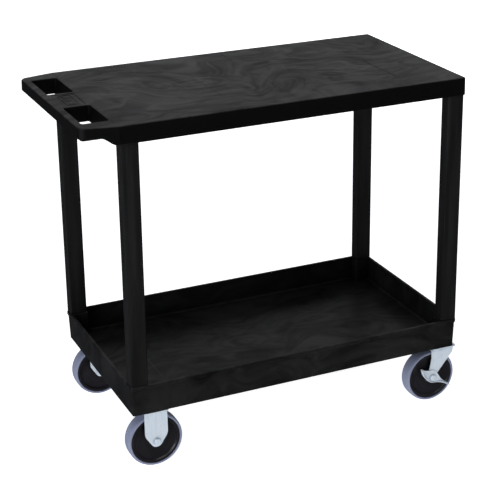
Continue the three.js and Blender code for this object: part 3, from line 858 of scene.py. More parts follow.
def fine_scuffs() -> Effect:
    """Hair scratches in three directions, as a mask.

    Returns:
        The group.
    """
    inputs = {"Vector": (0.0, 0.0, 0.0), "Scale": 1.0, "Amount": 0.5}
    effect = Effect("fine_scuffs", inputs, {"Mask": FLOAT})
    w = effect.wiring
    sized = w.add("VectorMath", {0: effect.given["Vector"], "Scale": effect.given["Scale"]},
                  operation="SCALE").outputs[0]
    total: Socket | float = 0.0
    directions = ((0.3, (14.0, 900.0, 500.0)), (1.2, (18.0, 1200.0, 600.0)), (2.3, (10.0, 1000.0, 400.0)))
    for turn, stretch in directions:
        turned = w.add("VectorRotate", {"Vector": sized, "Angle": turn}, rotation_type="Z_AXIS").outputs[0]
        lines = w.noise(w.vector_math("MULTIPLY", turned, stretch).outputs[0], 1.0, 1.0).outputs["Fac"]
        total = w.math("ADD", total, w.spread(lines, 0.69, 0.78))
    effect.put("Mask", w.math("MULTIPLY", total, effect.given["Amount"], clamp=True))
    return effect


def settled_dust() -> Effect:
    """Thin dust on faces that look up, as a mask.

    Returns:
        The group.
    """
    effect = Effect("settled_dust", {"Vector": (0.0, 0.0, 0.0), "Amount": 0.3}, {"Mask": FLOAT})
    w = effect.wiring
    normal = w.add("NewGeometry").outputs["Normal"]
    up = w.add("SeparateXYZ", {0: normal}).outputs[2]
    specks = w.noise(effect.given["Vector"], 420.0, 3.0, 0.7).outputs["Fac"]
    clouds = w.noise(effect.given["Vector"], 11.0, 3.0).outputs["Fac"]
    both = w.math("MULTIPLY", w.spread(specks, 0.45, 0.8), w.spread(clouds, 0.35, 0.75))
    on_top = w.math("MULTIPLY", both, w.spread(up, 0.6, 1.0))
    effect.put("Mask", w.math("MULTIPLY", on_top, effect.given["Amount"], clamp=True))
    return effect


@dataclass(frozen=True)
class Effects:
    """Every effect group, made once and shared by the finishes."""

    grain: Effect = field(default_factory=moulded_grain)
    flow: Effect = field(default_factory=flow_marks)
    swirl: Effect = field(default_factory=gate_swirl)
    seam: Effect = field(default_factory=seam_line)
    ribs: Effect = field(default_factory=rib_shadow)
    wear: Effect = field(default_factory=edge_wear)
    scuffs: Effect = field(default_factory=fine_scuffs)
    dust: Effect = field(default_factory=settled_dust)
    contact: Effect = field(default_factory=contact_shade)


# ------------------------------------------------------------------------------------------ finishes

Colour = tuple[float, float, float, float]

SIDE_SHADE: Colour = (0.001, 0.001, 0.0011, 1.0)
DEEP_SHADE: Colour = (0.0006, 0.0006, 0.0007, 1.0)
DUST_COLOUR: Colour = (0.11, 0.115, 0.125, 1.0)
RUBBED_MOULDING: Colour = (0.085, 0.09, 0.1, 1.0)
RUBBED_POST: Colour = (0.07, 0.072, 0.08, 1.0)
SCUFFED_POST: Colour = (0.06, 0.06, 0.066, 1.0)
RUBBED_ZINC: Colour = (0.95, 0.96, 1.0, 1.0)
WHITE: Colour = (1.0, 1.0, 1.0, 1.0)


def new_material(name: str) -> tuple[bpy.types.Material, Wiring, bpy.types.Node, Socket]:
    """Starts a material.

    Args:
        name: The material's name.

    Returns:
        The material, its wiring, its Principled shader and its object coordinates.
    """
    material = bpy.data.materials.new(name)
    material.use_nodes = True
    wiring = Wiring(material.node_tree)
    shader = next(node for node in material.node_tree.nodes if node.type == "BSDF_PRINCIPLED")
    where = wiring.add("TexCoord").outputs["Object"]
    return material, wiring, shader, where


def bump(wiring: Wiring, shader: bpy.types.Node, height: Socket, depth: float, strength: float) -> None:
    """Drives a shader's normal from a height.

    Args:
        wiring: The material's wiring.
        shader: The shader.
        height: The height, from 0 to 1.
        depth: What a height of 1 stands for, in metres.
        strength: How strongly it shows.
    """
    values = {"Strength": strength, "Distance": depth, "Height": height}
    normal = wiring.add("Bump", values).outputs["Normal"]
    wiring.tree.links.new(normal, shader.inputs["Normal"])


@dataclass(frozen=True)
class Swirl:
    """An eye-shaped flow mark, in metres."""

    x: float
    y: float
    reach: float


@dataclass(frozen=True)
class Seam:
    """A straight flow seam, in metres, and how pale it is against the plastic."""

    start: tuple[float, float]
    end: tuple[float, float]
    width: float
    strength: float


@dataclass(frozen=True)
class MouldedPlastic:
    """Matt moulded plastic with flow marks, seams, dust and rubbed edges, with painted shade on its side
    faces and in its hollows.
    """

    name: str
    colour: Colour
    pale: Colour
    roughness: float
    specular: float
    level: float
    swirls: tuple[Swirl, ...] = ()
    seams: tuple[Seam, ...] = ()
    streaks: float = 0.5
    dust: float = 0.12
    shade_sides: float = 1.0
    rib_spacing: float = 0.0
    rib_start: float = 0.0
    rib_strength: float = 0.0

    def material(self, effects: Effects) -> bpy.types.Material:
        """Builds the finish.

        Args:
            effects: The shared effect groups.

        Returns:
            The material.
        """
        material, w, shader, where = new_material(self.name)
        flow = effects.flow.used(w, {"Vector": where, "Warp": 0.45})
        wide = w.math("MULTIPLY", flow["Mask"], self.streaks)
        total = w.math("ADD", wide, w.math("MULTIPLY", flow["Clouds"], self.streaks * 0.5))
        for swirl in self.swirls:
            centre = (swirl.x, swirl.y, self.level)
            mask = effects.swirl.used(w, {"Vector": where, "Centre": centre, "Reach": swirl.reach})["Mask"]
            total = w.math("ADD", total, w.math("MULTIPLY", mask, 0.5))
        for seam in self.seams:
            ends = {"From": (*seam.start, self.level), "To": (*seam.end, self.level), "Width": seam.width}
            mask = effects.seam.used(w, {"Vector": where, **ends})["Mask"]
            total = w.math("ADD", total, w.math("MULTIPLY", mask, seam.strength))
        # Painted shade: faces that do not look up are darkened towards SIDE_SHADE, as far as shade_sides
        # sets, and the pale flow colour is held back on them, so upward faces read lighter than the sides.
        normal = w.add("NewGeometry").outputs["Normal"]
        up = w.spread(w.add("SeparateXYZ", {0: normal}).outputs[2], 0.3, 0.9)
        on_top = w.spread(up, 0.0, 1.0, self.shade_sides, 1.0)
        if self.rib_spacing > 0:
            layout = {"Spacing": self.rib_spacing, "Start": self.rib_start, "Width": 0.003}
            mask = effects.ribs.used(w, {"Vector": where, **layout})["Mask"]
            total = w.math("ADD", total, w.math("MULTIPLY", w.math("MULTIPLY", mask, up), self.rib_strength))
        share = w.math("MULTIPLY", total, on_top, clamp=True)
        colour = w.blend(share, self.colour, self.pale)
        colour = w.blend(on_top, SIDE_SHADE, colour)
        wear = effects.wear.used(w, {"Vector": where, "Patchiness": 55.0})["Mask"]
        colour = w.blend(w.math("MULTIPLY", wear, 0.35), colour, RUBBED_MOULDING)
        # Painted shade: ambient occlusion within 4 cm darkens hollows, corners and the spaces between parts
        # towards DEEP_SHADE.
        close = effects.contact.used(w, {"Distance": 0.04})["Mask"]
        colour = w.blend(w.math("MULTIPLY", close, 0.9), colour, DEEP_SHADE)
        dust = effects.dust.used(w, {"Vector": where, "Amount": self.dust})["Mask"]
        colour = w.blend(dust, colour, DUST_COLOUR)
        w.tree.links.new(colour, shader.inputs["Base Color"])
        scuffs = effects.scuffs.used(w, {"Vector": where, "Amount": 0.35})["Mask"]
        rough = w.math("SUBTRACT", self.roughness, w.math("MULTIPLY", share, 0.12))
        rough = w.math("ADD", rough, w.math("MULTIPLY", scuffs, 0.1))
        rough = w.math("ADD", rough, w.math("MULTIPLY", dust, 0.6), clamp=True)
        w.tree.links.new(rough, shader.inputs["Roughness"])
        shader.inputs["Specular IOR Level"].default_value = self.specular
        grain = effects.grain.used(w, {"Vector": where, "Scale": 900.0})["Height"]
        height = w.math("ADD", w.math("MULTIPLY", grain, 0.5), w.math("MULTIPLY", scuffs, -0.25))
        bump(w, shader, height, 0.0001, 0.35)
        return material


@dataclass(frozen=True)
class ExtrudedPlastic:
    """Plastic posts with fine die lines that run up them."""

    name: str
    colour: Colour
    pale: Colour
    roughness: float
    specular: float

    def material(self, effects: Effects) -> bpy.types.Material:
        """Builds the finish.

        Args:
            effects: The shared effect groups.

        Returns:
            The material.
        """
        material, w, shader, where = new_material(self.name)
        thin = w.vector_math("MULTIPLY", where, (900.0, 900.0, 1.5)).outputs[0]
        lines = w.noise(thin, 1.0, 3.0, 0.6).outputs["Fac"]
        tall = w.vector_math("MULTIPLY", where, (60.0, 60.0, 4.0)).outputs[0]
        broad = w.noise(tall, 1.0, 3.0).outputs["Fac"]
        share = w.math("MULTIPLY", w.spread(broad, 0.3, 0.75), w.spread(lines, 0.25, 0.8))
        colour = w.blend(share, self.colour, self.pale)
        wear = effects.wear.used(w, {"Vector": where, "Patchiness": 35.0})["Mask"]
        colour = w.blend(w.math("MULTIPLY", wear, 0.4), colour, RUBBED_POST)
        scuffs = effects.scuffs.used(w, {"Vector": where, "Amount": 0.5})["Mask"]
        colour = w.blend(w.math("MULTIPLY", scuffs, 0.2), colour, SCUFFED_POST)
        w.tree.links.new(colour, shader.inputs["Base Color"])
        rough = w.math("ADD", self.roughness, w.math("MULTIPLY", lines, 0.12))
        w.tree.links.new(rough, shader.inputs["Roughness"])
        shader.inputs["Specular IOR Level"].default_value = self.specular
        grain = effects.grain.used(w, {"Vector": where, "Scale": 1100.0})["Height"]
        height = w.math("ADD", w.math("MULTIPLY", grain, 0.3), w.math("MULTIPLY", lines, 0.9))
        bump(w, shader, height, 0.0001, 0.4)
        return material


@dataclass(frozen=True)
class TyreRubber:
    """Pale thermoplastic rubber with a dirty tread."""

    name: str
    colour: Colour
    dirt: Colour

    def material(self, effects: Effects) -> bpy.types.Material:
        """Builds the finish.

        Args:
            effects: The shared effect groups.

        Returns:
            The material.
        """
        material, w, shader, where = new_material(self.name)
        clouds = w.noise(where, 38.0, 5.0, 0.6, 0.4).outputs["Fac"]
        specks = w.noise(where, 520.0, 3.0, 0.7).outputs["Fac"]
        dirt = w.math("MULTIPLY", w.spread(clouds, 0.4, 0.75), w.spread(specks, 0.4, 0.72))
        colour = w.blend(w.math("MULTIPLY", dirt, 0.45), self.colour, self.dirt)
        wear = effects.wear.used(w, {"Vector": where, "Patchiness": 90.0})["Mask"]
        colour = w.blend(w.math("MULTIPLY", wear, 0.3), colour, self.dirt)
        w.tree.links.new(colour, shader.inputs["Base Color"])
        scuffs = effects.scuffs.used(w, {"Vector": where, "Amount": 0.6})["Mask"]
        rough = w.math("ADD", 0.55, w.math("MULTIPLY", scuffs, 0.25))
        w.tree.links.new(rough, shader.inputs["Roughness"])
        shader.inputs["Specular IOR Level"].default_value = 0.4
        shader.inputs["Subsurface Weight"].default_value = 0.06
        shader.inputs["Subsurface Scale"].default_value = 0.004
        grain = effects.grain.used(w, {"Vector": where, "Scale": 800.0})["Height"]
        height = w.math("ADD", w.math("MULTIPLY", grain, 0.5), w.math("MULTIPLY", clouds, 0.7))
        bump(w, shader, height, 0.00012, 0.4)
        return material


@dataclass(frozen=True)
class PlatedSteel:
    """Bright zinc on pressed steel, with spangles, stains and rubbed edges, and painted shade in its
    crevices.
    """

    name: str
    colour: Colour
    stain: Colour
    grime: Colour
    roughness: float
    metallic: float

    def material(self, effects: Effects) -> bpy.types.Material:
        """Builds the finish.

        Args:
            effects: The shared effect groups.

        Returns:
            The material.
        """
        material, w, shader, where = new_material(self.name)
        crystals = w.add("TexVoronoi", {"Vector": where, "Scale": 260.0}, feature="F1")
        spangle = w.add("SeparateColor", {0: crystals.outputs["Color"]}).outputs[0]
        clouds = w.noise(where, 42.0, 5.0, 0.6, 0.5).outputs["Fac"]
        stained = w.spread(clouds, 0.48, 0.8)
        colour = w.blend(w.math("MULTIPLY", stained, 0.4), self.colour, self.stain)
        bright = w.blend(w.math("MULTIPLY", spangle, 0.14), colour, WHITE)
        wear = effects.wear.used(w, {"Vector": where, "Patchiness": 80.0})["Mask"]
        bright = w.blend(w.math("MULTIPLY", wear, 0.5), bright, RUBBED_ZINC)
        # Painted shade: ambient occlusion darkens crevices, such as around bolts and where parts meet,
        # towards the crevice shade colour.
        close = effects.contact.used(w, {"Distance": 0.007})["Mask"]
        bright = w.blend(w.math("MULTIPLY", close, 0.75), bright, self.grime)
        drawn = w.vector_math("MULTIPLY", where, (420.0, 420.0, 14.0)).outputs[0]
        brushed = w.noise(drawn, 1.0, 3.0).outputs["Fac"]
        bright = w.blend(w.math("MULTIPLY", w.spread(brushed, 0.45, 0.75), 0.3), bright, self.stain)
        w.tree.links.new(bright, shader.inputs["Base Color"])
        scuffs = effects.scuffs.used(w, {"Vector": where, "Amount": 0.7})["Mask"]
        rough = w.math("ADD", self.roughness, w.math("MULTIPLY", spangle, 0.1))
        rough = w.math("ADD", rough, w.math("MULTIPLY", scuffs, 0.12))
        rough = w.math("ADD", rough, w.math("MULTIPLY", stained, 0.12), clamp=True)
        w.tree.links.new(rough, shader.inputs["Roughness"])
        shader.inputs["Metallic"].default_value = self.metallic
        height = w.math("ADD", w.math("MULTIPLY", clouds, 0.6), w.math("MULTIPLY", scuffs, -0.3))
        bump(w, shader, height, 0.00012, 0.3)
        return material


@dataclass
class Finishes:
    """Every finish of the cart, one material each."""

    effects: Effects = field(default_factory=Effects)

    def __post_init__(self) -> None:
        """Builds the materials."""
        e = self.effects
        deck_swirls = (Swirl(-0.295, 0.119, 0.11), Swirl(-0.114, 0.001, 0.15), Swirl(0.262, -0.046, 0.1))
        deck_seams = (Seam((0.312, 0.011), (0.312, -0.135), 0.004, -0.5),
                      Seam((0.307, -0.135), (0.167, -0.075), 0.005, 0.25))
        self.deck = MouldedPlastic(
            name="deck_plastic_finish", colour=(0.003, 0.003, 0.0033, 1), pale=(0.042, 0.042, 0.043, 1),
            roughness=0.52, specular=0.22, level=0.8015, swirls=deck_swirls, seams=deck_seams,
            streaks=0.8, dust=0.1, shade_sides=0.12,
            rib_spacing=0.1359, rib_start=-0.37285, rib_strength=-0.3).material(e)
        tub_swirls = (Swirl(0.205, 0.037, 0.12), Swirl(-0.006, -0.005, 0.12))
        tub_seams = (Seam((0.173, 0.076), (0.386, 0.136), 0.004, 0.35),
                     Seam((-0.243, 0.019), (-0.243, -0.085), 0.003, 0.45))
        self.tub = MouldedPlastic(
            name="tub_plastic_finish", colour=(0.0028, 0.0028, 0.0031, 1), pale=(0.030, 0.030, 0.031, 1),
            roughness=0.52, specular=0.2, level=0.1534, swirls=tub_swirls, seams=tub_seams,
            streaks=0.8, dust=0.08, shade_sides=0.7,
            rib_spacing=0.163, rib_start=-0.37285, rib_strength=0.25).material(e)
        self.leg = ExtrudedPlastic(
            name="leg_plastic_finish", colour=(0.006, 0.006, 0.0064, 1), pale=(0.021, 0.021, 0.022, 1),
            roughness=0.48, specular=0.22).material(e)
        self.tyre = TyreRubber("tyre_finish", (0.25, 0.28, 0.40, 1), (0.15, 0.165, 0.235, 1)).material(e)
        self.core = MouldedPlastic(
            name="wheel_centre_finish", colour=(0.011, 0.0095, 0.013, 1), pale=(0.028, 0.024, 0.032, 1),
            roughness=0.34, specular=0.6, level=0.0635, streaks=0.4, dust=0.05).material(e)
        self.zinc = PlatedSteel(
            name="zinc_finish", colour=(0.80, 0.90, 1.0, 1), stain=(0.5, 0.58, 0.70, 1),
            grime=(0.16, 0.18, 0.24, 1), roughness=0.3, metallic=0.2).material(e)
        self.bush = PlatedSteel(
            name="bush_finish", colour=(0.45, 0.47, 0.5, 1), stain=(0.25, 0.26, 0.28, 1),
            grime=(0.05, 0.05, 0.055, 1), roughness=0.36, metallic=0.9).material(e)


# ------------------------------------------------------------------------------------------ deck


@dataclass
class LegSpot:
    """Where one leg stands, and the socket around it, in millimetres."""

    end: End
    side: Side

    @property
    def node(self) -> str:
        """The leg's node."""
        return f"leg_{self.end.word}_{self.side.word}"

    @property
    def box(self) -> Box:
        """The leg's box, its shaft being as wide as the box."""
        return Box.of(self.node)

    def span(self, inset: float) -> tuple[tuple[float, float], tuple[float, float]]:
        """The leg's ends along X and along Y.

        Args:
            inset: How far in from its faces.

        Returns:
            The two ends along X, and the two along Y.
        """
        box = self.box
        return (box.low.x + inset, box.high.x - inset), (box.low.y + inset, box.high.y - inset)

    def socket(self, ledge: float, into_wall: float) -> tuple[tuple[float, float], tuple[float, float]]:
        """The socket's ends along X and along Y.

        Args:
            ledge: How far it stands out past the leg's inner faces.
            into_wall: How far it runs on into the walls behind it.

        Returns:
            The two ends along X, and the two along Y.
        """
        (x0, x1), (y0, y1) = self.span(0.0)
        x = (x0 - into_wall, x1 + ledge) if self.end is End.HANDLE else (x0 - ledge, x1 + into_wall)
        y = (y0 - into_wall, y1 + ledge) if self.side is Side.RIGHT else (y0 - ledge, y1 + into_wall)
        return x, y


LEG_SPOTS = [LegSpot(end, side) for end in End for side in Side]


@dataclass
class Deck:
    """The upper shelf, moulded in one with its push handle."""

    finish: bpy.types.Material
    node: str = "top_shelf"
    plate: float = 6.0
    wall: float = 5.0
    corner: float = 7.0
    top_edge: float = 3.0
    slot_edge: float = 1.6
    handle_length: float = 80.0
    handle_taper: float = 18.0
    handle_corner: float = 20.0
    handle_depth: float = 24.0
    grip_width: float = 17.5
    slot_width: float = 58.0
    slot_length: float = 125.0
    slot_spacing: float = 110.0
    slot_corner: float = 5.0
    slot_wall: float = 4.0
    well_rise: float = 4.0
    rib_depth: float = 16.0
    rib_thick: float = 4.0
    rib_edge: float = 0.9
    cross_ribs: int = 5
    draft: float = 0.6
    inner_fillet: float = 3.0
    inner_rim: float = 0.8
    outer_rim: float = 1.2
    pocket_depth: float = 30.3
    into_wall: float = 1.5
    badge_corner: float = 6.0
    badge_depth: float = 1.6
    box: Box = field(init=False)

    def __post_init__(self) -> None:
        """Reads the deck's box."""
        self.box = Box.of(self.node)

    @property
    def root(self) -> float:
        """Where the handle meets the full-width deck."""
        return self.box.low.x + self.handle_length

    @property
    def slot_x(self) -> tuple[float, float]:
        """The finger slots' ends along X."""
        start = self.box.low.x + self.grip_width
        return start, start + self.slot_width

    def slot_y(self, side: Side) -> tuple[float, float]:
        """A finger slot's ends along Y."""
        ends = (side.value * self.slot_spacing / 2, side.value * (self.slot_spacing / 2 + self.slot_length))
        return min(ends), max(ends)

    @property
    def bend(self) -> tuple[float, float]:
        """Where the handle's underside starts and stops sweeping down."""
        end = self.slot_x[1]
        return end - self.slot_width * 0.55, end

    def underside(self, x: float) -> float:
        """The skirt's bottom edge.

        Args:
            x: The place along X.

        Returns:
            The edge's height there.
        """
        start, end = self.bend
        high = self.box.high.z - self.handle_depth
        return high + (self.box.low.z - high) * smooth((x - start) / (end - start))

    def corners(self) -> list[tuple[float, float, float]]:
        """The outline's corners, with points along the handle's tapered sides.

        Returns:
            Each corner as x, y and its radius.
        """
        half, nose, grip = self.box.high.y, self.box.high.x, self.box.low.x
        stations = list(reversed(spaced(*self.bend, 10)))
        left = [(self.root, half, 5.0)]
        left += [(x, half - self.handle_taper * (self.root - x) / self.handle_length, 0.0) for x in stations]
        left.append((grip, half - self.handle_taper, self.handle_corner))
        right = [(x, -y, radius) for x, y, radius in reversed(left)]
        return [(nose, -half, self.corner), (nose, half, self.corner), *left, *right]

    def ring(self, inset: float, level: Callable[[float], float]) -> Ring:
        """One ring of the shell.

        Args:
            inset: How far in from the outline.
            level: Gives the height at a place along X.

        Returns:
            The ring's points.
        """
        plan = rounded_path(inset_corners(self.corners(), inset), 8)
        return [Vector((x, y, level(x))) for x, y in plan]

    def shell(self) -> bpy.types.Object:
        """The plate and the skirt around it.

        Returns:
            The solid.
        """
        top = self.box.high.z
        under = top - self.plate
        fillet, inner_rim, outer_rim, edge = self.inner_fillet, self.inner_rim, self.outer_rim, self.top_edge
        inner = self.wall - 0.3
        arc = quarter_turn(EDGE_STEPS)
        rings = []
        for a in arc:
            rings.append(self.ring(self.wall + fillet * (1 - math.sin(a)),
                                   lambda x, a=a: under - fillet * (1 - math.cos(a))))
        for a in arc:
            rings.append(self.ring(inner - inner_rim * (1 - math.cos(a)),
                                   lambda x, a=a: self.underside(x) + inner_rim * (1 - math.sin(a))))
        for a in arc:
            rings.append(self.ring(outer_rim * (1 - math.sin(a)),
                                   lambda x, a=a: self.underside(x) + outer_rim * (1 - math.cos(a))))
        for a in arc:
            rings.append(self.ring(self.draft + edge * (1 - math.cos(a)),
                                   lambda x, a=a: top - edge * (1 - math.sin(a))))
        return MeshPen().loft(rings).piece("deck_moulding")

    def well(self, side: Side) -> bpy.types.Object:
        """The walls around one finger slot.

        Args:
            side: The slot's side.

        Returns:
            The solid.
        """
        x = self.slot_x
        y = self.slot_y(side)
        top = self.box.high.z - self.plate / 2
        foot = self.box.low.z + self.well_rise

        def outline(grow: float) -> Plan:
            """The slot's outline, grown, with points along its straight sides.

            Args:
                grow: How far its sides move out.

            Returns:
                The outline's points.
            """
            stations = spaced(x[0] + 12, x[1] - 8, 12)
            near = [(at, y[0] - grow, 0.0) for at in stations]
            far = [(at, y[1] + grow, 0.0) for at in reversed(stations)]
            corner = self.slot_corner + grow
            low, high = (x[0] - grow, y[0] - grow), (x[1] + grow, y[1] + grow)
            return rounded_path([(low[0], low[1], corner), *near, (high[0], low[1], corner),
                                 (high[0], high[1], corner), *far, (low[0], high[1], corner)], 6)

        rings = []
        for grow, drop in ((self.slot_wall, 0.0), (self.slot_wall, top), (-0.6, top), (-0.6, 0.0)):
            rings.append([Vector((a, b, drop if drop else foot)) for a, b in outline(grow)])
        return MeshPen().loft(rings, loop=True).piece("tool")

    def slot_cutter(self, side: Side) -> bpy.types.Object:
        """The opening of one finger slot, with a rounded upper edge.

        Args:
            side: The slot's side.

        Returns:
            The cutter.
        """
        plan = rounded_rectangle(self.slot_x, self.slot_y(side), self.slot_corner, 8)
        top = self.box.high.z
        edge = self.slot_edge
        flare = math.radians(80)
        run = 4.0
        rows = [(0.0, self.box.low.z - CUT_PAST)]
        for a in (flare * k / 6 for k in range(7)):
            rows.append((-edge * (1 - math.cos(a)), top - edge * (1 - math.sin(a))))
        rows.append((rows[-1][0] - run, rows[-1][1] + run / math.tan(flare)))
        rows.append((rows[-1][0], top + 2 * CUT_PAST))
        rings = [[Vector((a, b, z)) for a, b in inset_plan(plan, inset)] for inset, z in rows]
        return MeshPen().loft(rings).piece("tool")

    def supports(self) -> list[bpy.types.Object]:
        """The walls, ribs and leg sockets under the plate.

        Faces that would share one plane are kept a fraction apart, so that the solids join cleanly.

        Returns:
            The solids to join on.
        """
        low, top = self.box.low.z, self.box.high.z
        rib_z = (top - self.plate - self.rib_depth, top - self.plate / 2)
        full_z = (low + 0.3, top - self.plate / 2 - 0.2)
        half = self.box.high.y - self.wall + 1.5
        nose = self.box.high.x - self.wall + 1.5
        end_wall = (self.slot_x[1] + 0.2, self.slot_x[1] + self.wall + 0.8)
        solids = [block(end_wall, (-half, half), full_z, 0, 0.8)]
        for i in range(self.cross_ribs):
            x = self.root + (self.box.high.x - self.root) * (i + 1) / (self.cross_ribs + 1)
            rib = (x - self.rib_thick / 2, x + self.rib_thick / 2)
            solids.append(block(rib, (-half, half), rib_z, 0, self.rib_edge))
        for side in Side:
            y = side.value * self.box.size.y / 6
            rib = (y - self.rib_thick / 2, y + self.rib_thick / 2)
            z = (rib_z[0] + 0.6, rib_z[1] - 0.3)
            solids.append(block((self.slot_x[1] + 2, nose), rib, z, 0, self.rib_edge))
        for i, spot in enumerate(LEG_SPOTS):
            x, y = spot.socket(SOCKET_LEDGE, self.into_wall)
            solids.append(block(x, y, (low + 0.15 + 0.01 * i, top - self.plate / 2 - 0.4), 1.5, 0.8))
        return solids

    def plaque(self) -> bpy.types.Object:
        """The blank badge on the bridge between the slots: a raised frame around three plain bars.

        Returns:
            The solids to join on.
        """
        top = self.box.high.z
        foot = top - self.badge_depth
        middle = sum(self.slot_x) / 2
        outer = rounded_rectangle((middle - 14, middle + 14), (-38, 38), self.badge_corner, 6)
        border = ((0.0, foot), (0.0, top - 0.45), (0.25, top - 0.2),
                  (1.6, top - 0.2), (1.85, top - 0.45), (1.85, foot))
        rings = [[Vector((a, b, z)) for a, b in inset_plan(outer, inset)] for inset, z in border]
        pen = MeshPen().loft(rings, loop=True)
        for y in (-24.0, 0.0, 24.0):
            bar = rounded_rectangle((middle - 7, middle + 7), (y - 8, y + 8), 3, 5)
            pen.slab(bar, (foot, top - 0.3), 0.3)
        return pen.piece("tool")

    def build(self) -> None:
        """Builds the deck and dresses it."""
        piece = self.shell()
        combine(piece, [self.well(side) for side in Side] + self.supports(), add=True)
        cutters = [self.slot_cutter(side) for side in Side]
        top = self.box.high.z
        panel = rounded_rectangle((self.slot_x[0] + 4, self.slot_x[1] - 4), (-46, 46), 4)
        cutters.append(MeshPen().slab(panel, (top - 0.8, top + CUT_PAST)).piece("tool"))
        for spot in LEG_SPOTS:
            x, y = spot.span(TENON_INSET)
            cutters.append(block(x, y, (self.box.low.z - CUT_PAST, self.box.low.z + self.pocket_depth), 1.0))
        combine(piece, cutters)
        combine(piece, [self.plaque()], add=True)
        place(piece, [self.node], self.finish)


# ------------------------------------------------------------------------------------------ tub


@dataclass
class Tub:
    """The deep lower shelf, with its lip, leg sockets, ribs and caster pads."""

    finish: bpy.types.Material
    node: str = "lower_tub"
    wall: float = 4.6
    corner: float = 9.0
    draft: float = 2.5
    floor: float = 6.0
    foot: float = 6.0
    lip_height: float = 8.0
    lip_proud: float = 2.4
    pocket_depth: float = 52.3
    cross_ribs: int = 4
    long_ribs: int = 3
    rib_thick: float = 4.0
    rib_edge: float = 0.8
    into_wall: float = -3.3
    floor_fillet: float = 6.0
    inner_rim: float = 1.2
    outer_rim: float = 1.5
    lip_rim: float = 0.8
    bottom_rim: float = 2.0
    box: Box = field(init=False)

    def __post_init__(self) -> None:
        """Reads the tub's box."""
        self.box = Box.of(self.node)

    def ring(self, inset: float, level: float) -> Ring:
        """One ring of the shell.

        Args:
            inset: How far in from the lip.
            level: Its height.

        Returns:
            The ring's points.
        """
        box = self.box
        x = (box.low.x + inset, box.high.x - inset)
        y = (box.low.y + inset, box.high.y - inset)
        plan = rounded_rectangle(x, y, max(self.corner - inset, 3.0), 8)
        return [Vector((a, b, level)) for a, b in plan]

    def shell(self) -> bpy.types.Object:
        """The floor, the walls and the lip.

        Returns:
            The solid.
        """
        low, top = self.box.low.z, self.box.high.z
        floor_top = low + self.foot + self.floor
        foot_in = self.lip_proud + self.draft + self.wall
        rim_in = self.lip_proud + self.wall
        wall_out = self.lip_proud + self.draft
        arc = quarter_turn(EDGE_STEPS)
        edge = self.floor_fillet
        rings = [self.ring(foot_in + edge * (1 - math.sin(a)), floor_top + edge * (1 - math.cos(a)))
                 for a in arc]
        edge = self.inner_rim
        rings += [self.ring(rim_in - edge * (1 - math.cos(a)), top - edge * (1 - math.sin(a))) for a in arc]
        edge = self.outer_rim
        rings += [self.ring(edge * (1 - math.sin(a)), top - edge * (1 - math.cos(a))) for a in arc]
        lip = top - self.lip_height
        edge = self.lip_rim
        rings += [self.ring(edge * (1 - math.cos(a)), lip + edge * (1 - math.sin(a))) for a in arc]
        rings += [self.ring(self.lip_proud + 0.6, lip), self.ring(self.lip_proud + 0.6, lip - 0.8),
                  self.ring(self.lip_proud, lip - 1.3)]
        edge = self.bottom_rim
        rings += [self.ring(wall_out + edge * (1 - math.cos(a)), low + edge * (1 - math.sin(a))) for a in arc]
        rings += [self.ring(foot_in, low), self.ring(foot_in, low + self.foot - 0.8),
                  self.ring(foot_in + 0.8, low + self.foot)]
        return MeshPen().loft(rings).piece("tub_moulding")

    def supports(self) -> list[bpy.types.Object]:
        """The corner sockets, the ribs under the floor and the caster pads.

        Faces that would share one plane are kept a fraction apart, so that the solids join cleanly.

        Returns:
            The solids to join on.
        """
        box = self.box
        low, top = box.low.z, box.high.z
        inside = (low + self.foot + 1.2, low + self.foot + 1.6)
        solids = []
        for i, spot in enumerate(LEG_SPOTS):
            x, y = spot.socket(SOCKET_LEDGE, self.into_wall)
            solids.append(block(x, y, (low + self.foot + 2 + 0.05 * i, top - 0.4 - 0.01 * i), 2.0, 0.8))
        reach = (box.low.x + 7, box.high.x - 7), (box.low.y + 7, box.high.y - 7)
        for i in range(self.cross_ribs):
            x = box.low.x + box.size.x * (i + 1) / (self.cross_ribs + 1)
            rib = (x - self.rib_thick / 2, x + self.rib_thick / 2)
            solids.append(block(rib, reach[1], (low + 0.3, inside[0]), 0, self.rib_edge))
        for i in range(self.long_ribs):
            y = box.low.y + box.size.y * (i + 1) / (self.long_ribs + 1)
            rib = (y - self.rib_thick / 2, y + self.rib_thick / 2)
            solids.append(block(reach[0], rib, (low + 0.5, inside[1]), 0, self.rib_edge))
        for i, spot in enumerate(caster_spots()):
            plate = Box.of(spot.plate_node)
            out = box.high.y - 7
            inner = abs(spot.centre.y) - plate.size.y / 2 - 10
            y = (-out, -inner) if spot.side is Side.RIGHT else (inner, out)
            x = (max(plate.low.x - 10, box.low.x + 7.2), min(plate.high.x + 10, box.high.x - 7.2))
            solids.append(block(x, y, (low + 0.1 + 0.01 * i, inside[1] + 0.3), 3.0, 0.6))
        return solids

    def cutters(self) -> list[bpy.types.Object]:
        """The leg pockets and the screw holes.

        Returns:
            The cutters.
        """
        low, top = self.box.low.z, self.box.high.z
        tools = []
        for spot in LEG_SPOTS:
            x, y = spot.span(TENON_INSET)
            tools.append(block(x, y, (top - self.pocket_depth, top + CUT_PAST), 1.0))
        holes = MeshPen()
        for spot in caster_spots():
            for screw in spot.screws:
                centre = Box.of(screw).centre
                profile = [(0.0, low - CUT_PAST), (2.5, low - CUT_PAST), (2.5, low + 9.3), (0.0, low + 9.8)]
                holes.turned(profile, Vector((centre.x, centre.y, 0)), Axis.Z, 20)
        tools.append(holes.piece("tool"))
        return tools

    def build(self) -> None:
        """Builds the tub and dresses it."""
        piece = self.shell()
        combine(piece, self.supports(), add=True)
        combine(piece, self.cutters())
        place(piece, [self.node], self.finish)


# ------------------------------------------------------------------------------------------ legs


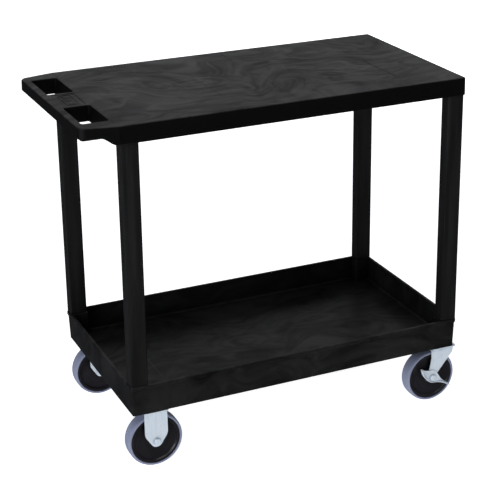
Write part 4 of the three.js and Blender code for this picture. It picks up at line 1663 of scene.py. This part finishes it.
@dataclass
class Leg:
    """One hollow post with a tenon at each end."""

    spot: LegSpot
    shoulders: tuple[float, float]
    finish: bpy.types.Material

    def build(self) -> None:
        """Builds the post and dresses it."""
        box = self.spot.box
        low, high = self.shoulders
        foot, head = box.low.z, box.high.z
        lower = [(5.6, 1.5, foot), (5.0, 1.5, foot + 0.8), (5.0, 1.5, low),
                 (1.0, 2.0, low), (0.3, 2.3, low + 0.3), (0.0, 2.5, low + 1.0)]
        upper = [(0.0, 2.5, high - 1.0), (0.3, 2.3, high - 0.3), (1.0, 2.0, high),
                 (5.0, 1.5, high), (5.0, 1.5, head - 0.8), (5.6, 1.5, head)]
        bore = [(9.0, 1.0, head), (9.0, 1.0, foot)]
        rings = []
        for inset, radius, level in lower + upper + bore:
            x, y = self.spot.span(inset)
            rings.append([Vector((a, b, level)) for a, b in rounded_rectangle(x, y, radius, 5)])
        name = f"leg_post_{self.spot.end.word}_{self.spot.side.word}"
        piece = MeshPen().loft(rings, loop=True).piece(name)
        place(piece, [self.spot.node], self.finish)


# ------------------------------------------------------------------------------------------ casters


@dataclass
class CasterSpot:
    """The names and the places of one caster."""

    side: Side
    swivels: bool

    @property
    def prefix(self) -> str:
        """The start of its nodes' names."""
        return f"{'swivel' if self.swivels else 'rigid'}_{self.side.word}"

    @property
    def plate_node(self) -> str:
        """The node that carries its top plate."""
        return f"{self.prefix}_plate" if self.swivels else f"{self.prefix}_fork"

    @property
    def screws(self) -> list[str]:
        """Its four screws' nodes."""
        return [f"{self.prefix}_plate_screw_{i}" for i in range(1, 5)]

    @property
    def axle(self) -> Vector:
        """The middle of its wheel."""
        return Box.of(f"{self.prefix}_tyre").centre

    @property
    def centre(self) -> Vector:
        """The middle of its top plate, with the plate's top as its height."""
        box = Box.of(self.plate_node)
        return Vector((box.centre.x, box.centre.y, box.high.z))


def caster_spots() -> list[CasterSpot]:
    """The cart's four casters."""
    return [CasterSpot(side, swivels) for swivels in (False, True) for side in Side]


@dataclass
class Wheel:
    """A tyre on its core, with the bush, the bolt and the nut of its axle."""

    spot: CasterSpot
    finishes: Finishes
    stack: float
    fork_outside: float = 21.5
    gap: float = 0.3
    tread_inside: float = 57.0
    crease: float = 40.0
    bolt_head: float = 5.3
    bolt_radius: float = 4.0
    bolt_tail: float = 8.0
    nut_height: float = 4.8

    def name(self, part: str) -> str:
        """A piece's name."""
        return f"{self.spot.prefix}_{part}"

    @staticmethod
    def mirrored(half: Plan) -> Plan:
        """A profile with its mirror image, the wheel's middle between them."""
        return half + [(radius, -level) for radius, level in reversed(half)]

    def tread(self) -> None:
        """The tyre: thin side faces, rounded shoulders, a crowned tread and its mould line."""
        box = Box.of(f"{self.spot.prefix}_tyre")
        outer, half, inner = box.size.z / 2, box.size.y / 2, self.tread_inside
        profile = [(inner, half - 1.4), (inner + 0.3, half - 0.5), (inner + 1.0, half - 0.1),
                   (inner + 1.6, half), (outer - 3.6, half - 0.25), (outer - 2.2, half - 0.8),
                   (outer - 1.2, half - 1.8), (outer - 0.6, half - 3.2), (outer - 0.32, half - 5.4),
                   (outer - 0.18, half - 9.0), (outer - 0.13, 0.7), (outer, 0.35)]
        pen = MeshPen().turned(self.mirrored(profile), box.centre, Axis.Y, WHEEL_FACETS)
        piece = pen.piece(self.name("wheel_tread"), self.crease)
        place(piece, [f"{self.spot.prefix}_tyre"], self.finishes.tyre)

    def centre(self) -> None:
        """The core: hub, dished web and rim."""
        node = f"{self.spot.prefix}_wheel_core"
        box = Box.of(node)
        half, outer = box.size.y / 2, box.size.z / 2
        hub = [(6.35, half - 0.6), (6.9, half), (13.6, half), (14.6, half - 0.4), (15.1, half - 1.3)]
        web = [(16.2, 12.4), (16.9, 11.2), (18.6, 10.5), (33.0, 9.6), (34.0, 9.0), (35.0, 9.6), (46.5, 10.3)]
        rise = [(48.6, 10.9), (49.8, 12.2), (50.8, 14.2), (51.6, 14.9), (52.4, 15.0)]
        edge = [(outer - 1.0, 15.0), (outer - 0.3, 14.7), (outer, 14.1)]
        pen = MeshPen().turned(self.mirrored(hub + web + rise + edge), box.centre, Axis.Y, WHEEL_FACETS)
        piece = pen.piece(self.name("wheel_centre"), self.crease)
        place(piece, [node], self.finishes.core)

    def sleeve(self) -> None:
        """The steel bush that the wheel turns on."""
        node = f"{self.spot.prefix}_axle_bush"
        box = Box.of(node)
        half, outer = box.size.y / 2, box.size.z / 2
        profile = [(4.35, half - 0.3), (4.7, half), (outer - 0.5, half), (outer, half - 0.5)]
        pen = MeshPen().turned(self.mirrored(profile), box.centre, Axis.Y, 48)
        piece = pen.piece(self.name("axle_sleeve"))
        place(piece, [node], self.finishes.bush)

    def bolt(self) -> None:
        """The axle's hexagon bolt, with its thread showing past the nut."""
        node = f"{self.spot.prefix}_axle_bolt"
        out = self.spot.side.value
        axle = self.spot.axle
        seat = self.fork_outside + self.stack + self.gap
        tail = self.fork_outside + self.gap + self.bolt_tail
        head = (out * seat, out * (seat + self.bolt_head))
        radius = self.bolt_radius
        pen = MeshPen().nut(AXLE_HEX, head, axle, Axis.Y, 0.0, (False, True))
        profile = [(0.0, out * (seat + 0.4)), (radius, out * (seat + 0.4)), (radius, -out * (tail - 9.0))]
        for k in range(8):
            at = tail - 8.5 + k
            profile += [(3.96, -out * at), (3.6, -out * (at + 0.5))]
        profile += [(3.9, -out * (tail - 0.5)), (3.2, -out * tail), (0.0, -out * tail)]
        piece = pen.turned(profile, axle, Axis.Y, 40).piece(self.name("axle_hex_bolt"))
        place(piece, [node], self.finishes.zinc)

    def nut(self) -> None:
        """The lock nut, with its collar."""
        node = f"{self.spot.prefix}_axle_nut"
        out = -self.spot.side.value
        axle = self.spot.axle
        near = self.fork_outside + self.gap
        pen = MeshPen().nut(AXLE_HEX, (out * near, out * (near + self.nut_height)), axle, Axis.Y, AXLE_HOLE)
        profile = [(AXLE_HOLE, out * (near + 4.5)), (5.9, out * (near + 4.5)), (5.9, out * (near + 5.6)),
                   (5.6, out * (near + 6.2)), (5.0, out * (near + 6.5)), (AXLE_HOLE, out * (near + 6.5))]
        piece = pen.turned(profile, axle, Axis.Y, 48).piece(self.name("lock_nut"))
        place(piece, [node], self.finishes.zinc)

    def build(self) -> None:
        """Builds the wheel and its axle."""
        self.tread()
        self.centre()
        self.sleeve()
        self.bolt()
        self.nut()


@dataclass
class Caster:
    """What rigid and swivel casters share: a drilled top plate, its screws and a pressed fork."""

    spot: CasterSpot
    finishes: Finishes
    sheet: float = 2.5
    leg_middle: float = 20.25
    bend: float = 5.0
    plate_corner: float = 5.0
    hole: float = 2.5
    screw_hex: float = 8.0
    screw_head: float = 2.8
    foot_lift: float = 0.12
    wheel_stack: float = 0.0

    @property
    def prefix(self) -> str:
        """The start of its nodes' names."""
        return self.spot.prefix

    def plate(self, extra_hole: float = 0.0) -> None:
        """The top plate.

        Args:
            extra_hole: The radius of a hole in its middle, or 0.
        """
        box = Box.of(self.spot.plate_node)
        top = box.high.z
        plan = rounded_rectangle((box.low.x, box.high.x), (box.low.y, box.high.y), self.plate_corner, 8)
        name = f"{self.prefix}_top_plate"
        piece = MeshPen().slab(plan, (top - self.sheet, top), 0.45).piece(name)
        holes = MeshPen()
        for screw in self.spot.screws:
            at = Box.of(screw).centre
            drill = rod(self.hole, top - DRILL_REACH, top + DRILL_REACH)
            holes.turned(drill, Vector((at.x, at.y, 0)), Axis.Z, 28)
        if extra_hole > 0:
            drill = rod(extra_hole, top - DRILL_REACH, top + DRILL_REACH)
            holes.turned(drill, Vector((box.centre.x, box.centre.y, 0)), Axis.Z, 40)
        combine(piece, [holes.piece("tool")])
        place(piece, [self.spot.plate_node], self.finishes.zinc)

    def screw(self, node: str, number: int) -> None:
        """One flanged hexagon screw.

        Args:
            node: The screw's node.
            number: Its number in its piece's name.
        """
        box = Box.of(node)
        centre = Vector((box.centre.x, box.centre.y, 0))
        low = box.low.z
        flange = low + self.screw_head
        pen = MeshPen().nut(self.screw_hex, (flange + 0.4, low), centre, Axis.Z, 0.0, (False, True), 60)
        profile = [(0.0, flange), (4.6, flange), (5.1, flange + 0.2), (5.2, flange + 0.5),
                   (5.2, flange + 0.85), (5.0, flange + 1.0), (2.2, flange + 1.0),
                   (2.2, box.high.z - 1.0), (1.4, box.high.z), (0.0, box.high.z)]
        piece = pen.turned(profile, centre, Axis.Z, 40).piece(f"{self.prefix}_flange_screw_{number}")
        place(piece, [node], self.finishes.zinc)

    def axle_drill(self) -> bpy.types.Object:
        """A bar that drills the axle's hole through both legs."""
        return MeshPen().turned(rod(AXLE_HOLE, -40.0, 40.0), self.spot.axle, Axis.Y, 36).piece("tool")

    def section(self, foot: float, web: float) -> Plan:
        """The fork's folded section, as Y and Z from one foot over the web to the other.

        Args:
            foot: The level of its lower ends.
            web: The level of its web.

        Returns:
            The points along the middle of the sheet.
        """
        axle = self.spot.axle.z
        levels = [foot + (1 - math.cos(a)) * (axle - foot) for a in quarter_turn(9)]
        levels += spaced(axle + 2.5, web - self.bend, 22)
        half = [(-self.leg_middle, level) for level in levels]
        for a in quarter_turn(8)[1:-1]:
            across = -self.leg_middle + self.bend * (1 - math.cos(a))
            half.append((across, web - self.bend * (1 - math.sin(a))))
        for t in spaced(0, self.leg_middle - self.bend, 8):
            half.append((-self.leg_middle + self.bend + t, web))
        return half + [(-y, z) for y, z in reversed(half[:-1])]

    def fork(self, name: str, nodes: Sequence[str], web: float, foot: float,
             edges: Callable[[float], tuple[float, float]], emboss: Callable[[float, float], float]) -> None:
        """The pressed fork.

        Args:
            name: Its name.
            nodes: The nodes that it stands for.
            web: The level of the middle of its web.
            foot: The level of its lower tip.
            edges: Gives both ends along X, from the axle, at a level above the axle.
            emboss: Gives how far the sheet stands out at a place and a level from the axle.
        """
        axle = self.spot.axle
        grid = []
        for y, z in self.section(foot, web):
            start, end = edges(z - axle.z)
            lift = 1.0 if abs(y) > self.leg_middle - self.bend - 0.01 else 0.0
            row = []
            for share in spaced(0.0, 1.0, 31):
                x = start + (end - start) * share
                out = emboss(x, z - axle.z) * lift * (1 if y > 0 else -1)
                row.append(Vector((axle.x + x, axle.y + y + out, z)))
            grid.append(row)
        piece = pressed_sheet(name, grid, self.sheet)
        combine(piece, [self.axle_drill(), *self.more_drills()])
        place(piece, nodes, self.finishes.zinc)

    def more_drills(self) -> list[bpy.types.Object]:
        """Bars that drill further holes in the fork."""
        return []

    def build(self) -> None:
        """Builds the caster and dresses it."""
        for number, node in enumerate(self.spot.screws, 1):
            self.screw(node, number)
        Wheel(self.spot, self.finishes, self.wheel_stack).build()


@dataclass
class RigidCaster(Caster):
    """A caster whose fork is one with its top plate."""

    tip: float = 14.0
    shoulder: float = 14.0

    def edges(self, height: float) -> tuple[float, float]:
        """The leg's two edges.

        Args:
            height: The height above the axle.

        Returns:
            Both ends along X, from the axle.
        """
        box = Box.of(self.spot.plate_node)
        half = box.size.x / 2 - 0.5
        far = math.hypot(half, self.shoulder)
        angle = math.atan2(self.shoulder, half) - math.acos(self.tip / far)
        touch_x, touch_z = self.tip * math.cos(angle), self.tip * math.sin(angle)
        if height <= touch_z:
            width = math.sqrt(max(self.tip ** 2 - height ** 2, 2.0))
        elif height < self.shoulder:
            share = (height - touch_z) / (self.shoulder - touch_z)
            width = touch_x + (half - touch_x) * share
            width -= 0.9 * math.exp(-((height - self.shoulder) / 3.0) ** 2)
        else:
            width = half - 0.9 * math.exp(-((height - self.shoulder) / 3.0) ** 2)
        return -width, width

    def emboss(self, x: float, height: float) -> float:
        """A slight crown over the leg and a pressed ring around the bolt.

        Args:
            x: The place along X, from the axle.
            height: The height above the axle.

        Returns:
            How far the sheet stands out there.
        """
        ring = math.exp(-((math.hypot(x, height) - 12.5) / 1.6) ** 2)
        half = Box.of(self.spot.plate_node).size.x / 2
        crown = max(0.0, 1 - (x / half) ** 2) * smooth((62 - height) / 25)
        return 0.25 * ring - 0.25 + 0.45 * crown

    def build(self) -> None:
        """Builds the rigid caster."""
        self.plate()
        top = Box.of(self.spot.plate_node).high.z
        web = top - self.sheet - 0.05 - self.sheet / 2
        foot = self.spot.axle.z - self.tip + self.foot_lift
        self.fork(f"{self.prefix}_pressed_fork", [f"{self.prefix}_fork"], web, foot, self.edges, self.emboss)
        super().build()


@dataclass
class SwivelCaster(Caster):
    """A caster that turns on a ball ring and carries a two-way brake pedal."""

    wheel_stack: float = 2.1
    tip: float = 10.5
    crown_length: float = 58.0
    rivet_hole: float = 5.3
    balls: int = 22
    ball_radius: float = 1.7
    ball_circle: float = 19.4
    lever_sheet: float = 1.8
    lever_fold: float = 1.4

    def edges(self, height: float) -> tuple[float, float]:
        """The leg's two edges.

        Args:
            height: The height above the axle.

        Returns:
            Both ends along X, from the axle.
        """
        if height < 0:
            half = math.sqrt(max(self.tip ** 2 - height ** 2, 2.0))
            return -half, half
        fork = Box.of(f"{self.prefix}_fork")
        rear = fork.high.x - self.spot.axle.x - self.crown_length
        front = fork.high.x - self.spot.axle.x
        back = [(0.0, -self.tip), (5.0, -10.2), (15.0, -8.0), (30.0, -4.6), (48.0, rear + 0.6), (60.0, rear)]
        fore = [(0.0, self.tip), (4.0, 11.6), (15.0, 20.0), (30.0, 32.5), (46.0, 45.5),
                (56.0, front - 2), (64.0, front)]
        return between(back, height), between(fore, height)

    def emboss(self, x: float, height: float) -> float:
        """The pressed crease that stiffens each leg.

        Args:
            x: The place along X, from the axle.
            height: The height above the axle.

        Returns:
            How far the sheet stands out there.
        """
        start, end = Vector((10.0, 57.0)), Vector((5.5, 14.0))
        here = Vector((x, height))
        share = min(max((here - start).dot(end - start) / (end - start).length_squared, 0.0), 1.0)
        away = (here - start.lerp(end, share)).length
        return 0.8 * math.exp(-(away / 2.6) ** 2) - 0.15

    def pin_drill(self, radius: float) -> bpy.types.Object:
        """A bar that drills the king rivet's hole.

        Args:
            radius: The hole's radius.

        Returns:
            The bar.
        """
        fork = Box.of(f"{self.prefix}_fork")
        centre = Vector((self.spot.centre.x, self.spot.centre.y, fork.high.z))
        return MeshPen().turned(rod(radius, -8.0, 8.0), centre, Axis.Z, 40).piece("tool")

    def more_drills(self) -> list[bpy.types.Object]:
        """The bar that drills the king rivet's hole."""
        return [self.pin_drill(self.rivet_hole)]

    def ball_ring(self) -> None:
        """The two cups of the swivel with their balls between them."""
        node = f"{self.prefix}_ball_race"
        box = Box.of(node)
        centre = Vector((box.centre.x, box.centre.y, box.low.z))
        pen = MeshPen()
        lower = [(5.6, 0.1), (5.6, 1.0), (16.0, 1.0), (17.5, 0.9), (19.5, 0.7), (21.4, 1.2),
                 (22.3, 2.2), (22.8, 2.1), (23.0, 1.7), (22.2, 0.5), (20.5, 0.0), (6.0, 0.0)]
        upper = [(5.6, 4.1), (5.6, 4.9), (6.0, 5.0), (20.6, 5.0), (21.0, 4.6), (21.2, 3.6), (20.8, 3.4),
                 (20.2, 4.2), (19.0, 4.3), (16.5, 4.1)]
        pen.turned(lower, centre, Axis.Z, 96)
        pen.turned(upper, centre, Axis.Z, 96)
        tilts = [QUARTER * (j / 5 - 1) for j in range(1, 10)]
        poles = [(0.0, self.ball_radius * math.sin(end)) for end in (-QUARTER, QUARTER)]
        sides = [(self.ball_radius * math.cos(tilt), self.ball_radius * math.sin(tilt)) for tilt in tilts]
        ball = [poles[0], *sides, poles[1]]
        for k in range(self.balls):
            angle = 2 * math.pi * k / self.balls
            across = Vector((self.ball_circle * math.cos(angle), self.ball_circle * math.sin(angle), 2.5))
            pen.turned(ball, centre + across, Axis.Z, 16)
        piece = pen.piece(f"{self.prefix}_ball_ring")
        place(piece, [node], self.finishes.zinc)

    def king_rivet(self) -> None:
        """The rivet that holds the swivel together, with its domed head under the crown."""
        node = f"{self.prefix}_kingpin"
        box = Box.of(node)
        centre = Vector((box.centre.x, box.centre.y, box.low.z))
        height = box.size.z
        dome = [(0.0, 0.0), (3.0, 0.1), (5.6, 0.45), (7.6, 1.05), (8.7, 1.7), (9.0, 2.2), (8.8, 2.4)]
        profile = dome + [(5.0, 2.4), (5.0, height - 0.6), (4.4, height), (0.0, height)]
        piece = MeshPen().turned(profile, centre, Axis.Z, 56).piece(f"{self.prefix}_king_rivet")
        place(piece, [node], self.finishes.zinc)

    def pedal(self) -> None:
        """The two-way brake pedal: a pressed plate around the axle with a folded wing at each end."""
        node = f"{self.prefix}_brake_lever"
        axle = self.spot.axle
        out = self.spot.side.value
        middle = self.leg_middle + self.sheet / 2 + 0.3 + self.lever_sheet / 2
        fold = self.lever_fold
        belly = curved([(-32.3, 26.4), (-27.0, 11.8), (-19.3, 1.4), (-10.5, -7.7), (-3.2, -11.6),
                        (8.5, -13.4), (21.6, -15.4), (33.0, -19.4), (44.8, -26.2)], 64)
        crest = curved([(-31.0, 26.9), (-20.7, 20.6), (-9.8, 18.2), (2.0, 17.2), (9.5, 12.4), (15.8, 3.8),
                        (22.0, -6.5), (30.0, -15.0), (45.3, -25.3)], 64)
        grid = []
        for k, (low, high) in enumerate(zip(belly, crest)):
            share = k / (len(belly) - 1)
            wing = 1.2 + 6.4 * (smooth((0.36 - share) / 0.3) + smooth((share - 0.66) / 0.28))
            ahead, behind = belly[min(k + 1, len(belly) - 1)], belly[max(k - 1, 0)]
            along = (Vector(ahead) - Vector(behind)).normalized()
            inward = Vector((-along.y, along.x))
            row = []
            for t in spaced(wing, 0.0, 6):
                row.append(Vector((axle.x + low[0], axle.y + out * (middle + fold + t), axle.z + low[1])))
            for a in (0.35, 0.8, 1.25):
                at = Vector(low) + inward * fold * (1 - math.cos(a))
                sideways = out * (middle + fold - fold * math.sin(a))
                row.append(Vector((axle.x + at.x, axle.y + sideways, axle.z + at.y)))
            base = Vector(low) + inward * fold
            for t in spaced(0.0, 1.0, 9):
                at = base.lerp(Vector(high) + inward * 1.0, t)
                row.append(Vector((axle.x + at.x, axle.y + out * middle, axle.z + at.y)))
            grid.append(row)
        piece = pressed_sheet(f"{self.prefix}_brake_pedal", grid, self.lever_sheet, 0.35)
        combine(piece, [self.axle_drill()])
        place(piece, [node], self.finishes.zinc)

    def build(self) -> None:
        """Builds the swivel caster."""
        self.plate(self.rivet_hole)
        fork = Box.of(f"{self.prefix}_fork")
        foot = self.spot.axle.z - self.tip + self.foot_lift
        web = fork.high.z - self.sheet / 2
        self.fork(f"{self.prefix}_pressed_fork", [f"{self.prefix}_fork"], web, foot, self.edges, self.emboss)
        self.ball_ring()
        self.king_rivet()
        self.pedal()
        super().build()


# ------------------------------------------------------------------------------------------ studio


@dataclass
class Studio:
    """The floor, the light and the camera."""

    camera_at: Vector = field(default_factory=lambda: Vector((-1278.3, -2898.4, 1677.1)) * MM)
    heading: float = 24.882
    descent: float = 19.887
    roll: float = -0.465
    lens: float = 105.6
    sensor: float = 36.0
    shift: tuple[float, float] = (-0.0412, -0.1195)
    farthest: float = 500.0
    floor_half: float = 60000.0
    floor_corner: float = 4000.0

    def floor(self) -> None:
        """A wide pale floor that throws light back up at the cart."""
        ends = (-self.floor_half, self.floor_half)
        plan = rounded_rectangle(ends, ends, self.floor_corner, 8)
        piece = MeshPen().slab(plan, (-20, 0), 4).piece("studio_floor")
        material, w, shader, where = new_material("studio_floor_finish")
        clouds = w.noise(where, 1.3, 3.0).outputs["Fac"]
        colour = w.blend(w.math("MULTIPLY", clouds, 0.06), (0.9, 0.9, 0.9, 1.0), (0.86, 0.86, 0.87, 1.0))
        w.tree.links.new(colour, shader.inputs["Base Color"])
        up = w.add("SeparateXYZ", {0: w.add("NewGeometry").outputs["Normal"]}).outputs[2]
        w.tree.links.new(w.spread(up, -0.1, 0.1), shader.inputs["Alpha"])
        shader.inputs["Roughness"].default_value = 0.9
        shader.inputs["Emission Color"].default_value = WHITE
        shader.inputs["Emission Strength"].default_value = 0.95
        piece.data.materials.append(material)
        piece.visible_diffuse = True
        piece.visible_glossy = False
        piece.visible_shadow = False

    def lamp(self, name: str, at: Sequence[float], towards: Sequence[float], size: Sequence[float],
             power: float, colour: Sequence[float] = (1.0, 1.0, 1.0), mirrored: bool = True) -> None:
        """A soft box.

        Args:
            name: Its name.
            at: Its place in metres.
            towards: The point that it faces.
            size: Its two lengths in metres.
            power: Its power in watts.
            colour: Its colour.
            mirrored: Whether it shows in reflections.
        """
        light = bpy.data.lights.new(name, "AREA")
        light.shape = "RECTANGLE"
        light.size, light.size_y = size
        light.energy = power
        light.color = colour
        holder = bpy.data.objects.new(name, light)
        holder.location = at
        holder.rotation_euler = (Vector(towards) - Vector(at)).to_track_quat("-Z", "Y").to_euler()
        holder.visible_camera = False
        holder.visible_glossy = mirrored
        bpy.context.scene.collection.objects.link(holder)

    def surroundings(self) -> None:
        """White behind the cart for the camera, and dim grey for the light that reaches it."""
        world = bpy.data.worlds.new("studio_world")
        world.use_nodes = True
        w = Wiring(world.node_tree)
        backdrop = next(node for node in world.node_tree.nodes if node.type == "BACKGROUND")
        seen = w.add("LightPath").outputs["Is Camera Ray"]
        up = w.add("SeparateXYZ", {0: w.add("TexCoord").outputs["Generated"]}).outputs[2]
        sky = w.blend(w.spread(up, -0.1, 0.9), (0.045, 0.047, 0.052, 1.0), (0.075, 0.08, 0.09, 1.0))
        colour = w.blend(seen, sky, WHITE)
        w.tree.links.new(colour, backdrop.inputs["Color"])
        bpy.context.scene.world = world

    def camera(self) -> None:
        """The camera that the cart is shown through."""
        az, el, roll = (math.radians(v) for v in (self.heading, self.descent, self.roll))
        forward = Vector((math.cos(el) * math.sin(az), math.cos(el) * math.cos(az), -math.sin(el)))
        right = Vector((math.cos(az), -math.sin(az), 0.0))
        up = right.cross(forward)
        across = right * math.cos(roll) + up * math.sin(roll)
        upright = up * math.cos(roll) - right * math.sin(roll)
        data = bpy.data.cameras.new("studio_camera")
        data.lens = self.lens
        data.sensor_width = self.sensor
        data.shift_x, data.shift_y = self.shift
        data.clip_end = self.farthest
        holder = bpy.data.objects.new("studio_camera", data)
        holder.matrix_world = Matrix((across, upright, -forward)).transposed().to_4x4()
        holder.location = self.camera_at
        bpy.context.scene.collection.objects.link(holder)
        bpy.context.scene.camera = holder

    def build(self) -> None:
        """Sets the studio up."""
        bpy.context.scene.view_settings.view_transform = "Standard"
        self.floor()
        self.surroundings()
        self.camera()
        self.lamp("overhead_box", (-0.6, -0.9, 3.4), (0, 0, 0.4), (2.4, 2.4), 39.0)
        self.lamp("horizon_box", (2.2, 4.2, 1.9), (0, 0, 0.7), (5.0, 1.8), 13.0)
        self.lamp("left_box", (-3.4, -1.6, 1.3), (-0.2, -0.1, 0.4), (1.6, 1.8), 46.0, (0.93, 0.96, 1.0))
        self.lamp("back_box", (2.9, 3.6, 1.0), (0, 0, 0.35), (1.6, 1.6), 34.0, (0.95, 0.97, 1.0), False)
        self.lamp("right_box", (3.6, -1.8, 0.9), (0.2, 0, 0.4), (1.4, 1.4), 5.0, (1.0, 1.0, 1.0), False)
        LOG.info("studio ready")


# ------------------------------------------------------------------------------------------ the cart


def main() -> None:
    """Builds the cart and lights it."""
    finishes = Finishes()
    Deck(finishes.deck).build()
    Tub(finishes.tub).build()
    shoulders = (Box.of("lower_tub").high.z + 0.3, Box.of("top_shelf").low.z - 0.3)
    for spot in LEG_SPOTS:
        Leg(spot, shoulders, finishes.leg).build()
    for spot in caster_spots():
        kind = SwivelCaster if spot.swivels else RigidCaster
        kind(spot, finishes).build()
    Studio().build()


if __name__ == "__main__":
    main()
